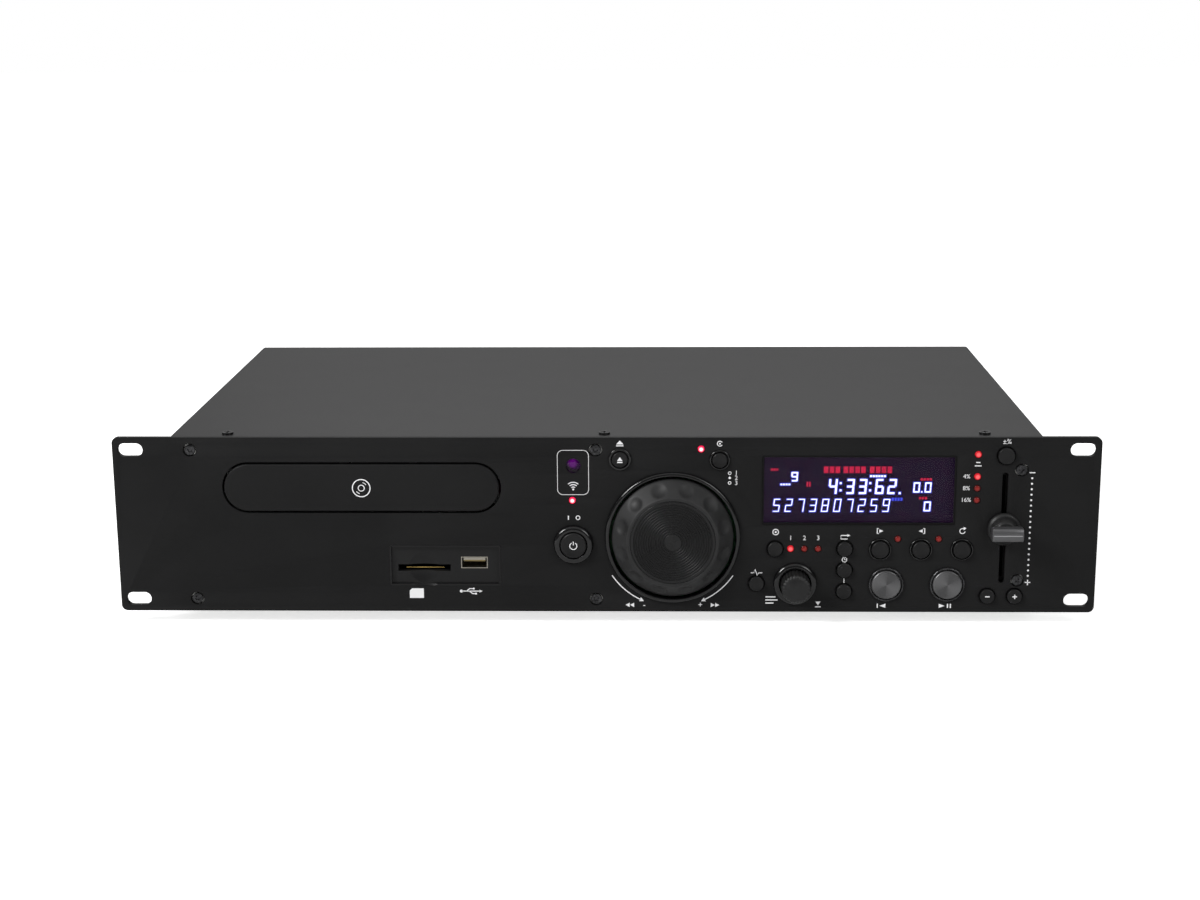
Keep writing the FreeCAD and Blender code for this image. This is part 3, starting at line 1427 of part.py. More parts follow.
def disc_tray():
    """A plate with a round well for the disc, a slot for the spindle and pickup, and a rack under it."""
    body = new_body(S.tray_x, tray_front, tray_low_z)
    half = S.tray_width / 2
    plate = new_sketch(body, "XY_Plane")
    draw_loop(plate, [(-half, 0), (half, 0), (half, S.tray_depth, S.tray_corner), (-half, S.tray_depth, S.tray_corner)])
    extend(body, plate, S.tray_thick)
    centre = disc_centre_y - tray_front
    well = new_sketch(body, "XY_Plane", S.tray_thick)
    draw_circle(well, 0, centre, S.disc_radius + S.disc_play)
    pierce(body, well, 2 * (S.tray_thick - S.tray_floor))
    inner_well = new_sketch(body, "XY_Plane", S.tray_floor)
    draw_circle(inner_well, 0, centre, S.small_disc_radius)
    pierce(body, inner_well, 2 * S.small_disc_depth)
    slot = new_sketch(body, "XY_Plane")
    slot_half = S.tray_slot_width / 2
    slot_front = centre - S.tray_slot_front
    draw_loop(slot, [(-slot_half, slot_front, S.tray_corner), (slot_half, slot_front, S.tray_corner),
                     (slot_half, S.tray_depth + 5), (-slot_half, S.tray_depth + 5)])
    pierce(body, slot, S.tray_thick * 4)
    add_rack(body)
    finish(body, "disc_tray")


def add_rack(body):
    """A toothed strip under the tray. Its teeth face the middle of the tray."""
    module = S.gear_module
    pitch = module * math.pi
    root = rack_pitch_line + S.gear_root * module
    back = root + S.rack_back
    start = S.rack_front
    strip = new_sketch(body, "XY_Plane")
    draw_rectangle(strip, root, back, start, S.tray_depth - S.tray_corner)
    extend(body, strip, S.rack_height, backwards=True)
    tip = rack_pitch_line - S.gear_tip * module
    flank = tangent_of(20)
    half = pitch / 4 - S.gear_backlash / 4
    tip_half, root_half = half - S.gear_tip * module * flank, half + S.gear_root * module * flank
    # A tooth gap of the pinion lies on the rack's line of action at rest, so a rack tooth sits at its middle.
    tooth_y = face_y + S.pinion_y - tray_front
    first = tooth_y - pitch
    tooth = new_sketch(body, "XY_Plane")
    draw_loop(tooth, [(root + S.tooth_sink, first - root_half), (root + S.tooth_sink, first + root_half), (tip, first + tip_half),
                      (tip, first - tip_half)])
    pad = extend(body, tooth, S.rack_height, backwards=True)
    teeth = body.newObject("PartDesign::LinearPattern", "Teeth")
    teeth.Originals = [pad]
    teeth.Direction = (origin_part(body, "Y_Axis"), [""])
    teeth.Mode = "Spacing"
    bind(teeth, "Offset", pitch)
    teeth.Occurrences = int(S.tray_travel.value / pitch.value) + 2
    body.Tip = teeth


# Loader frame


def loader_frame():
    """The tray's guide: floor, two side walls with ledges under the tray and lips over it."""
    x0, front, rear = S.tray_x, face_y + S.frame_front, face_y + S.frame_front + S.frame_depth
    low = middle_z + S.frame_low
    floor_top = low + S.frame_floor
    top = tray_high_z + S.slide_gap + S.frame_lip_thick
    pieces = [block((x0 - frame_side_x, x0 + frame_side_x), (front, rear), (low, floor_top))]
    ledge_top = tray_low_z - S.slide_gap
    for side in (-1, 1):
        def across(inner, outer):
            ends = (x0 + side * inner, x0 + side * outer)
            return ends if side > 0 else (ends[1], ends[0])

        pieces.append(block(across(tray_wall_x, frame_side_x), (front, rear), (low, top)))
        pieces.append(block(across(tray_wall_x - S.frame_ledge, frame_side_x), (front, rear),
                            (ledge_top - S.frame_ledge_thick, ledge_top)))
        pieces.append(block(across(tray_wall_x - S.frame_lip, frame_side_x), (front, rear),
                            (top - S.frame_lip_thick, top)))
    pieces.append(rod("z", S.pinion_axle_radius, x0 + S.pinion_x, face_y + S.pinion_y, floor_top,
                      middle_z + S.pinion_low + S.pinion_thick - floor_top))
    cam_low, cam_high = face_y + S.cam_y - S.slide_gap, face_y + S.cam_y + S.cam_thick + S.slide_gap
    rib_reach = S.cam_half_width
    for y in ((cam_low - S.cam_rib, cam_low), (cam_high, cam_high + S.cam_rib)):
        pieces.append(block((x0 - rib_reach - S.cam_travel, x0 + rib_reach), y,
                            (floor_top, middle_z + S.cam_rib_high)))
    for x in (-S.deck_post_x, S.deck_post_x):
        y = face_y + S.deck_post_y
        shoulder = middle_z + S.deck_low - S.slide_gap - floor_top
        pieces.append(rod("z", S.deck_post_radius + 2, x0 + x, y, floor_top, shoulder))
        pieces.append(rod("z", S.deck_post_radius, x0 + x, y, floor_top, middle_z + S.deck_post_high - floor_top))
    shaft_hole = rod("z", S.motor_pulley_radius + S.belt_thick, x0 + S.motor_x, face_y + S.motor_y, low - 1,
                     S.frame_floor + 2)
    spindle_hole = rod("z", S.spindle_motor_radius + 2, x0, disc_centre_y, low - 1, S.frame_floor + 2)
    finish(cut(join(*pieces), shaft_hole, spindle_hole), "loader_frame")


def clamp_bridge():
    """A steel strip across the frame's walls, with the hole that the clamp puck hangs in."""
    top = tray_high_z + S.slide_gap + S.frame_lip_thick
    strip = block((S.tray_x - frame_side_x, S.tray_x + frame_side_x),
                  (disc_centre_y - S.bridge_half_depth, disc_centre_y + S.bridge_half_depth),
                  (top, top + S.bridge_thick))
    hole = rod("z", S.bridge_hole_radius, S.tray_x, disc_centre_y, top - 1, S.bridge_thick + 2)
    finish(cut(strip, hole), "clamp_bridge")


def clamp_puck():
    """The magnetic puck that presses the disc on to the turntable."""
    bridge_top = tray_high_z + S.slide_gap + S.frame_lip_thick + S.bridge_thick
    bottom = middle_z + S.seat_z + S.lift + S.disc_thick + S.slide_gap - middle_z
    flange = bridge_top + S.slide_gap - middle_z
    high = flange + S.puck_flange_thick
    finish(upright_lathe([
        (S.puck_recess_radius, bottom), (S.puck_radius, bottom), (S.puck_radius, flange),
        (S.puck_flange_radius, flange), (S.puck_flange_radius, high), (0, high),
        (0, bottom + S.puck_recess_depth), (S.puck_recess_radius, bottom + S.puck_recess_depth),
    ], S.tray_x, disc_centre_y, middle_z), "clamp_puck")


# Tray drive

belt_mid = S.belt_wheel_low + S.belt_wheel_thick / 2


def pinion():
    """Gear and belt wheel in one moulding, turning on the frame's pin."""
    module = S.gear_module
    body = new_body(S.tray_x + S.pinion_x, face_y + S.pinion_y, middle_z)
    pitch_radius = module * S.pinion_teeth / 2
    root = pitch_radius - S.gear_root * module
    bore = S.pinion_axle_radius + S.turn_gap
    groove = S.belt_wheel_radius - S.belt_thick
    low, high = S.belt_wheel_low, S.belt_wheel_low + S.belt_wheel_thick
    wheel = new_sketch(body, "XZ_Plane")
    groove_half = S.belt_thick / 2 + S.belt_gap
    draw_loop(wheel, [
        (bore, low), (S.belt_wheel_radius, low), (S.belt_wheel_radius, belt_mid - groove_half),
        (groove, belt_mid - groove_half), (groove, belt_mid + groove_half),
        (S.belt_wheel_radius, belt_mid + groove_half), (S.belt_wheel_radius, high), (S.pinion_hub_radius, high),
        (S.pinion_hub_radius, S.pinion_low), (root, S.pinion_low), (root, S.pinion_low + S.pinion_thick),
        (bore, S.pinion_low + S.pinion_thick),
    ])
    spin(body, wheel)
    pitch = module * math.pi
    flank = tangent_of(20)
    half = pitch / 4 - S.gear_backlash / 4
    tip = pitch_radius + S.gear_tip * module
    tip_half = half - S.gear_tip * module * flank - S.pinion_tip_ease
    root_half = half + S.gear_root * module * flank - S.pinion_root_ease
    half_step = 180 / S.pinion_teeth
    tooth = new_sketch(body, "XY_Plane", S.pinion_low)
    draw_loop(tooth, [(root - S.tooth_sink, -root_half), (tip, -tip_half), (tip, tip_half), (root - S.tooth_sink, root_half)])
    bind(tooth, "AttachmentOffset.Rotation.Angle", half_step)
    pad = extend(body, tooth, S.pinion_thick)
    repeat_round(body, [pad], "Z_Axis", S.pinion_teeth)
    finish(body, "pinion")


def motor_pulley():
    radius = S.motor_pulley_radius
    groove = radius - S.belt_thick / 2
    low, high = S.belt_wheel_low, S.belt_wheel_low + S.belt_wheel_thick
    groove_half = S.belt_thick / 2 + S.belt_gap
    bore = S.motor_shaft_radius + S.turn_gap
    finish(upright_lathe([
        (bore, low), (radius, low), (radius, belt_mid - groove_half), (groove, belt_mid - groove_half),
        (groove, belt_mid + groove_half), (radius, belt_mid + groove_half), (radius, high), (bore, high),
    ], S.tray_x + S.motor_x, face_y + S.motor_y, middle_z), "motor_pulley")


def loading_motor():
    """A small can motor under the frame's floor, with its shaft standing up."""
    top = S.frame_low
    low = top - S.motor_height
    boss = S.motor_shaft_radius * 3
    finish(upright_lathe([
        (0, low), (S.motor_radius, low, S.ring_round), (S.motor_radius, top), (boss, top),
        (boss, top + S.frame_floor), (S.motor_shaft_radius, top + S.frame_floor),
        (S.motor_shaft_radius, S.belt_wheel_low + S.belt_wheel_thick + 1),
        (0, S.belt_wheel_low + S.belt_wheel_thick + 1),
    ], S.tray_x + S.motor_x, face_y + S.motor_y, middle_z), "loading_motor")


def belt_outline(far_radius, near_radius, distance, angle):
    """The closed line round two wheels. It is drawn with the near wheel at the origin."""
    lean = math.acos((far_radius - near_radius) / distance)
    turn = FreeCAD.Rotation(FreeCAD.Vector(0, 0, 1), math.degrees(angle))

    def spot(middle, radius, bearing):
        return turn.multVec(FreeCAD.Vector(middle + radius * math.cos(bearing), radius * math.sin(bearing), 0))

    split = math.pi - lean
    far_points = [spot(distance, far_radius, b) for b in (-split, 0, split)]
    near_points = [spot(0, near_radius, b) for b in (split, math.pi, 2 * math.pi - split)]
    return Part.Wire([
        Part.Arc(*far_points).toShape(),
        Part.LineSegment(far_points[2], near_points[0]).toShape(),
        Part.Arc(*near_points).toShape(),
        Part.LineSegment(near_points[2], far_points[0]).toShape(),
    ])


def drive_belt():
    """A square rubber belt round the motor's pulley and the pinion's wheel."""
    away = (S.pinion_x - S.motor_x).value, (S.pinion_y - S.motor_y).value
    distance, angle = math.hypot(*away), math.atan2(away[1], away[0])
    thick, gap = S.belt_thick.value, S.belt_gap.value
    far = S.belt_wheel_radius.value - thick + gap
    near = S.motor_pulley_radius.value - thick / 2 + gap
    outer = Part.Face(belt_outline(far + thick, near + thick, distance, angle))
    inner = Part.Face(belt_outline(far, near, distance, angle))
    ring = outer.cut(inner).extrude(FreeCAD.Vector(0, 0, thick))
    belt = doc.addObject("Part::Feature", "Belt")
    belt.Shape = ring
    place(belt, S.tray_x + S.motor_x, face_y + S.motor_y, middle_z + belt_mid - S.belt_thick / 2)
    finish(belt, "drive_belt")


# Traverse deck


def traverse_deck():
    """The plate that carries the spindle and pickup, with its cam pins and rod blocks."""
    x0 = S.tray_x
    front, rear = face_y + S.deck_front, face_y + S.deck_front + S.deck_depth
    low, high = middle_z + S.deck_low, middle_z + S.deck_low + S.deck_thick
    plate = block((x0 - S.deck_half_width, x0 + S.deck_half_width), (front, rear), (low, high))
    pins = [
        rod("y", S.deck_pin_radius, x0 + x, face_y + S.cam_y + S.slide_gap, middle_z + S.deck_pin_z,
            S.deck_front - S.cam_y - S.slide_gap + 1)
        for x in (-S.deck_pin_x, S.deck_pin_x)
    ]
    block_high = middle_z + S.rod_z + S.rod_radius + S.rod_roof
    blocks = [
        block((x0 + x - S.rod_block, x0 + x + S.rod_block), (y, y + S.rod_block), (low, block_high))
        for x in (-S.rod_x, S.rod_x)
        for y in (face_y + S.rod_front - S.rod_block / 2, face_y + S.rod_front + S.rod_length - S.rod_block / 2)
    ]
    rods = [
        rod("y", S.rod_radius, x0 + x, face_y + S.rod_front, middle_z + S.rod_z, S.rod_length)
        for x in (-S.rod_x, S.rod_x)
    ]
    opening_front = disc_centre_y + S.lens_inner - S.sled_front - S.slide_gap * 3
    opening_rear = (disc_centre_y + S.lens_inner - S.sled_front + S.sled_depth + S.pickup_travel
                    + S.slide_gap * 3)
    opening = block((x0 - S.sled_keel_half - 1, x0 + S.sled_keel_half + 1), (opening_front, opening_rear),
                    (low - 1, high + 1))
    spindle_hole = rod("z", S.spindle_boss_radius, x0, disc_centre_y, low - 1, S.deck_thick + 2)
    post_holes = [
        rod("z", S.deck_post_radius + S.slide_gap, x0 + x, face_y + S.deck_post_y, low - 1, S.deck_thick + 2)
        for x in (-S.deck_post_x, S.deck_post_x)
    ]
    finish(cut(join(plate, *pins, *blocks), opening, spindle_hole, *post_holes, *rods), "traverse_deck")
    guide = [
        rod("y", S.rod_radius, x0 + x, face_y + S.rod_front, middle_z + S.rod_z, S.rod_length)
        for x in (-S.rod_x, S.rod_x)
    ]
    finish(group(*guide), "guide_rods")


def spindle_motor():
    """The flat motor under the deck, with the boss that the spindle turns in."""
    deck_top = S.deck_low + S.deck_thick
    boss_top = S.seat_z - S.table_thick - S.slide_gap
    bore = S.spindle_radius + S.turn_gap
    finish(upright_lathe([
        (0, S.spindle_motor_low), (S.spindle_motor_radius, S.spindle_motor_low),
        (S.spindle_motor_radius, S.deck_low), (S.spindle_boss_radius, S.deck_low),
        (S.spindle_boss_radius, deck_top), (S.spindle_boss_radius - 1, boss_top), (bore, boss_top),
        (bore, S.deck_low - 4), (0, S.deck_low - 4),
    ], S.tray_x, disc_centre_y, middle_z), "spindle_motor")


def turntable():
    """The disc's seat with its centring cone and spindle."""
    seat = S.seat_z
    low = seat - S.table_thick
    finish(upright_lathe([
        (0, S.deck_low - 4 + S.slide_gap), (S.spindle_radius, S.deck_low - 4 + S.slide_gap), (S.spindle_radius, low),
        (S.table_radius, low), (S.table_radius, seat), (S.table_hub_radius, seat),
        (S.table_hub_radius, seat + S.table_hub_high / 2),
        (S.table_hub_radius - S.table_hub_taper, seat + S.table_hub_high), (0, seat + S.table_hub_high),
    ], S.tray_x, disc_centre_y, middle_z), "turntable")


def pickup():
    """The optical pickup: a sled on two rods, its keel through the deck and its lens."""
    x0 = S.tray_x
    lens_y = disc_centre_y + S.lens_inner
    front, rear = lens_y - S.sled_front, lens_y - S.sled_front + S.sled_depth
    sled = block((x0 - S.sled_half_width, x0 + S.sled_half_width), (front, rear),
                 (middle_z + S.sled_low, middle_z + S.sled_high))
    keel = block((x0 - S.sled_keel_half, x0 + S.sled_keel_half), (front, rear),
                 (middle_z + S.sled_keel_low, middle_z + S.sled_high))
    lens_top = S.seat_z - S.lens_below_disc
    turret = rod("z", S.lens_radius, x0, lens_y, middle_z + S.sled_low, lens_top - S.sled_low)
    dish = ball(S.lens_radius * 2, x0, lens_y, middle_z + lens_top + S.lens_radius * 2 - S.lens_dish)
    bores = [
        rod("y", S.rod_radius + S.turn_gap, x0 + x, front - 1, middle_z + S.rod_z, S.sled_depth + 2)
        for x in (-S.rod_x, S.rod_x)
    ]
    finish(cut(join(sled, keel, turret), dish, *bores), "pickup_sled")


def cam_slider():
    """The sliding plate whose sloping slots lift the deck's pins."""
    x0 = S.tray_x
    y0, y1 = face_y + S.cam_y, face_y + S.cam_y + S.cam_thick
    low = middle_z + S.frame_low + S.frame_floor + S.slide_gap
    plate = block((x0 - S.cam_half_width, x0 + S.cam_half_width), (y0, y1), (low, middle_z + S.cam_high))
    slots = []
    width = 2 * (S.deck_pin_radius + S.slide_gap)
    slope_length = root_of(S.lift * S.lift + S.cam_travel * S.cam_travel)
    angle = arctangent_of(S.lift / S.cam_travel)
    for pin_x in (-S.deck_pin_x, S.deck_pin_x):
        # The slot runs up to the right, so the pin climbs while the plate moves left.
        for x, z in ((x0 + pin_x, middle_z + S.deck_pin_z),
                     (x0 + pin_x + S.cam_travel, middle_z + S.deck_pin_z + S.lift)):
            slots.append(rod("y", width / 2, x, y0 - 1, z, S.cam_thick + 2))
        ramp = doc.addObject("Part::Box", "Ramp")
        bind(ramp, "Length", slope_length)
        bind(ramp, "Width", S.cam_thick + 2)
        bind(ramp, "Height", width)
        ramp.Placement = FreeCAD.Placement(FreeCAD.Vector(), FreeCAD.Rotation(FreeCAD.Vector(0, -1, 0), 0.5))
        bind(ramp, "Placement.Rotation.Angle", angle)
        reach = width / 2
        place(ramp, x0 + pin_x + reach * S.lift / slope_length, y0 - 1,
              middle_z + S.deck_pin_z - reach * S.cam_travel / slope_length)
        slots.append(ramp)
    finish(cut(plate, *slots), "cam_slider")


# Boards on the floor


def board_on_stands(left, right, front, rear):
    z = inside_z + S.stand_height
    return block((left, right), (face_y + front, face_y + rear), (z, z + S.board_thick)), z + S.board_thick


def main_board():
    """The signal board with its chips, crystal, memory and plugs."""
    board, top = board_on_stands(S.main_left, S.main_right, S.main_front, S.main_rear)
    centre_x = (S.main_left + S.main_right) / 2
    centre_y = face_y + (S.main_front + S.main_rear) / 2
    # Each chip's centre from the board's middle, then its width, depth and height
    chips = [(-28, -30, 22, 22, 2.4), (8, -32, 16, 10, 2.0), (30, -30, 12, 18, 2.0), (-30, 15, 14, 14, 2.2),
             (5, 10, 10, 10, 1.8), (28, 18, 30, 8, 9.0), (-30, 48, 34, 7, 9.0), (20, 48, 12, 6, 3.5)]
    parts = [
        block((centre_x + x - wide / 2, centre_x + x + wide / 2), (centre_y + y - deep / 2, centre_y + y + deep / 2),
              (top, top + tall))
        for x, y, wide, deep, tall in chips
    ]
    cap_places = ((-48, -50), (-38, -50), (-28, -50), (45, 45))
    caps = [
        rod("z", S.small_capacitor_radius, centre_x + x, centre_y + y, top, S.small_capacitor_tall)
        for x, y in cap_places
    ]
    finish(join(board, *parts, *caps), "main_board")


def supply_board():
    """The power supply with its transformer, reservoir capacitors and heat sink."""
    board, top = board_on_stands(S.supply_left, S.supply_right, S.supply_front, S.supply_rear)
    front = face_y + S.supply_front
    x0, y0 = S.supply_left + S.transformer_edge, front + S.transformer_edge
    x1, y1 = x0 + S.transformer_wide, y0 + S.transformer_deep
    core = block((x0, x1), (y0, y1), (top, top + S.transformer_tall))
    coil = block((x0 + S.coil_inset, x1 - S.coil_inset), (y0 - S.coil_over, y1 + S.coil_over),
                 (top, top + S.transformer_tall - S.coil_drop))
    right = S.supply_right - S.capacitor_radius - S.capacitor_edge
    caps = [
        rod("z", S.capacitor_radius, right,
            front + S.capacitor_start + i * (S.capacitor_radius * 2 + S.capacitor_space), top, S.capacitor_tall)
        for i in range(2)
    ]
    sink_x, sink_y = S.supply_left + S.sink_left, front + S.sink_front
    fins = [
        block((sink_x, sink_x + S.sink_thick), (sink_y, sink_y + S.sink_depth), (top, top + S.sink_tall)),
        *[block((sink_x - S.fin_reach, sink_x + 1), (sink_y + i * S.fin_pitch, sink_y + i * S.fin_pitch + S.fin_thick),
                (top, top + S.sink_tall)) for i in range(FIN_COUNT)],
    ]
    fuse_y = face_y + S.supply_rear - S.fuse_rear
    fuse = block((S.supply_right - S.fuse_left, S.supply_right - S.fuse_right), (fuse_y - S.fuse_deep, fuse_y),
                 (top, top + S.fuse_tall))
    finish(join(board, core, coil, *caps, *fins, fuse), "supply_board")


# Rear connections


def mains_inlet():
    """The three-pin inlet: a flanged socket with its pins, screwed to the rear panel."""
    x, z = S.inlet_x, middle_z + S.inlet_z
    half, tall = S.inlet_width / 2, S.inlet_height / 2
    flange_rear = rear_y + S.inlet_flange_thick
    ear = S.inlet_width / 2 + S.inlet_ear
    body_half, body_tall = half - S.inlet_fit, tall - S.inlet_fit
    housing = block((x - body_half, x + body_half), (rear_y - S.inlet_depth, flange_rear),
                    (z - body_tall, z + body_tall))
    flange = block((x - ear, x + ear), (rear_y, flange_rear), (z - tall - S.inlet_flange / 2, z + tall + S.inlet_flange / 2))
    socket_half, socket_tall = S.inlet_socket_width / 2, S.inlet_socket_height / 2
    socket_floor = flange_rear - S.inlet_socket_depth
    socket = block((x - socket_half, x + socket_half), (socket_floor, flange_rear + 1),
                   (z - socket_tall, z + socket_tall))
    holes = [rod("y", S.screw_radius, sx, rear_y - 1, sz, S.inlet_flange_thick + 2) for sx, sz in inlet_screw_places()]
    pin_half, pin_tall = S.inlet_pin_width / 2, S.inlet_pin_tall / 2
    pins = []
    for side, lift in ((-1, S.inlet_pin_lift), (0, S.inlet_earth_lift), (1, S.inlet_pin_lift)):
        pin_x = x + side * S.inlet_pin_pitch
        pins.append(block((pin_x - pin_half, pin_x + pin_half), (socket_floor - 1, flange_rear - S.inlet_pin_sunk),
                          (z + lift - pin_tall, z + lift + pin_tall)))
    screws = [pan_screw("y", sx, flange_rear, sz, 1) for sx, sz in inlet_screw_places()]
    finish(group(join(cut(join(housing, flange), socket, *holes), *pins), *screws), "mains_inlet")


def output_jacks():
    """A row of round output jacks: housing inside, nut and collar outside the rear panel."""
    z = middle_z + S.jack_z
    made = []
    for x in jack_places():
        half = S.jack_box_half
        housing = block((x - half, x + half), (rear_y - S.sheet - S.jack_box_depth, rear_y - S.sheet),
                        (z - half, z + half))
        neck = rod("y", S.jack_radius, x, rear_y - S.sheet - 1, z, S.jack_reach + S.sheet + 1)
        nut = rod("y", S.jack_nut_radius, x, rear_y, z, S.jack_nut_thick)
        bore = rod("y", S.jack_core_radius, x, rear_y - S.sheet, z, S.jack_reach + S.sheet + 1)
        made.append(cut(join(housing, neck, nut), bore))
    finish(group(*made), "output_jacks")


front_panel()
front_panel_screws()
chassis()
top_cover()
rear_panel()
case_screws()
rubber_feet()
buttons()
button_rings()
jog_ring()
jog_wheel()
jog_axle()
track_knob()
fader_track()
pitch_slider()
lamps()
sensor_window()
display()
media_bay()
card_slot()
data_port()
control_board()
tray_door()
disc_tray()
loader_frame()
clamp_bridge()
clamp_puck()
pinion()
motor_pulley()
loading_motor()
drive_belt()
traverse_deck()
spindle_motor()
turntable()
pickup()
cam_slider()
main_board()
supply_board()
mains_inlet()
output_jacks()

doc.recompute()
for thing in doc.Objects:
    if "Invalid" in thing.State or "Error" in thing.State:
        raise RuntimeError(f"{thing.Name} ({thing.Label}) failed: {thing.State}")
for piece in finished:
    if piece.Shape.isNull() or not piece.Shape.isValid() or not piece.Shape.Solids:
        raise RuntimeError(f"{piece.Label} has no valid solid")

os.makedirs("parts", exist_ok=True)
for piece in finished:
    piece.Shape.exportStep(f"parts/{piece.Label}.step")
print(len(finished), "sub-parts written")
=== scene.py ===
"""A rack-mount disc player, two units high: its visible pieces, finishes, lights and camera.

Lengths are metres. The front panel faces -Y, +X is to the right and +Z is up.
"""
import json
import logging
import math
from dataclasses import dataclass, field
from enum import Enum
from typing import Iterable, Optional, Sequence

import bmesh
import bpy
from mathutils import Matrix, Vector


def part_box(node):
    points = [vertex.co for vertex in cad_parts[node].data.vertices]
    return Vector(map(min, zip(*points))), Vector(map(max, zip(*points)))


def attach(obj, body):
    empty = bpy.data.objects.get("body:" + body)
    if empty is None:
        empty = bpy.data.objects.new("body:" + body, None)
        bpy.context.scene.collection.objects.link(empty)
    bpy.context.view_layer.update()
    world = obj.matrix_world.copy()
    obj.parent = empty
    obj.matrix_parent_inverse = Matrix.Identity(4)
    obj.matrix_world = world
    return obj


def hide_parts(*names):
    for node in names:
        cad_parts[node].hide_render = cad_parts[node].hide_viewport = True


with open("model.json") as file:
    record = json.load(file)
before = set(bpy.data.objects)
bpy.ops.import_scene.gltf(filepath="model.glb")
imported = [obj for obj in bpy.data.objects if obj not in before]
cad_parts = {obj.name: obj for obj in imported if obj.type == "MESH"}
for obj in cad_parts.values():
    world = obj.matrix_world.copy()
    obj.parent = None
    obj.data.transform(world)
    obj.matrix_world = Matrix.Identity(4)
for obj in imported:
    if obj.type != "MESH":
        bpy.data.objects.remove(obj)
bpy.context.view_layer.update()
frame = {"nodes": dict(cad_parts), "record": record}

log = logging.getLogger("disc_player")

MM = 0.001
SMOOTH_ANGLE = math.radians(35)
SAME = 1e-6
DUST_TONE = (0.32, 0.31, 0.3, 1.0)
DUST_ROUGH = 0.4
COAT_ROUGH = 0.08

Point = tuple[float, float]
Outline = list[Point]
Colour = tuple[float, float, float]


# Shader trees


class Tree:
    """A node tree that is written in short steps."""

    def __init__(self, tree: bpy.types.NodeTree) -> None:
        """Keeps the tree."""
        self.tree = tree

    def add(self, kind: str, inputs: Optional[dict] = None, **settings: object) -> bpy.types.Node:
        """Adds a node.

        Args:
            kind: the node's type without its ShaderNode prefix.
            inputs: a value or an output socket for each named or numbered input.
            settings: the node's own settings.

        Returns:
            The new node.
        """
        node = self.tree.nodes.new(kind if kind.startswith("Node") else "ShaderNode" + kind)
        for name, value in settings.items():
            setattr(node, name, value)
        for key, value in (inputs or {}).items():
            if isinstance(value, bpy.types.NodeSocket):
                self.link(value, node.inputs[key])
            else:
                node.inputs[key].default_value = value
        return node

    def link(self, source: bpy.types.NodeSocket, target: bpy.types.NodeSocket) -> None:
        """Links an output socket to an input socket."""
        self.tree.links.new(source, target)

    def math(self, operation: str, *values: object) -> bpy.types.NodeSocket:
        """Adds a Math node over values or sockets and returns its output."""
        return self.add("Math", dict(enumerate(values)), operation=operation).outputs[0]

    def blend(self, share: object, first: object, second: object) -> bpy.types.NodeSocket:
        """Mixes two colours by a share and returns the colour."""
        return self.add("Mix", {0: share, 6: first, 7: second}, data_type="RGBA").outputs[2]

    def ramp(self, value: object, low: float, high: float, to_low: float = 0.0,
             to_high: float = 1.0) -> bpy.types.NodeSocket:
        """Maps a value's range smoothly onto another and returns the result."""
        return self.add("MapRange", {0: value, 1: low, 2: high, 3: to_low, 4: to_high},
                        interpolation_type="SMOOTHSTEP").outputs[0]


def new_group(name: str, inputs: dict[str, str], outputs: Sequence[str]) -> tuple[Tree, dict]:
    """Makes a shader node group.

    Args:
        name: the group's name.
        inputs: each input's name with its socket kind.
        outputs: the names of its value outputs.

    Returns:
        The group's tree and its input sockets by name. The group's output node is named Out.
    """
    group = bpy.data.node_groups.new(name, "ShaderNodeTree")
    for label, kind in inputs.items():
        group.interface.new_socket(name=label, in_out="INPUT", socket_type="NodeSocket" + kind)
    for label in outputs:
        group.interface.new_socket(name=label, in_out="OUTPUT", socket_type="NodeSocketFloat")
    tree = Tree(group)
    source = tree.add("NodeGroupInput")
    tree.add("NodeGroupOutput").name = "Out"
    return tree, {socket.name: socket for socket in source.outputs if socket.name}


def group_out(tree: Tree, **values: bpy.types.NodeSocket) -> None:
    """Links values to the group's outputs."""
    for label, socket in values.items():
        tree.link(socket, tree.tree.nodes["Out"].inputs[label])


def new_material(label: str) -> tuple[bpy.types.Material, Tree, bpy.types.Node]:
    """Makes a node material and returns it with its tree and its shader."""
    made = bpy.data.materials.new(label)
    made.use_nodes = True
    return made, Tree(made.node_tree), made.node_tree.nodes["Principled BSDF"]


def place_name(place: Sequence[float]) -> str:
    """Writes a place in whole millimetres, for a material's name."""
    return "_".join(f"{value * 1000:.0f}" for value in place)


def grain_group() -> bpy.types.NodeTree:
    """Fine even grain with a slow drift, as on moulded plastic and powder coat."""
    tree, given = new_group("Surface grain", {"Vector": "Vector", "Size": "Float", "Drift": "Float"},
                            ("Height", "Patch"))
    fine = tree.add("TexNoise", {"Vector": given["Vector"], "Scale": tree.math("DIVIDE", 1.0, given["Size"]),
                                 "Detail": 3.0, "Roughness": 0.6})
    broad = tree.add("TexNoise", {"Vector": given["Vector"], "Detail": 2.0,
                                  "Scale": tree.math("DIVIDE", 1.0, given["Drift"])})
    group_out(tree, Height=fine.outputs[0], Patch=tree.ramp(broad.outputs[0], 0.3, 0.7))
    return tree.tree


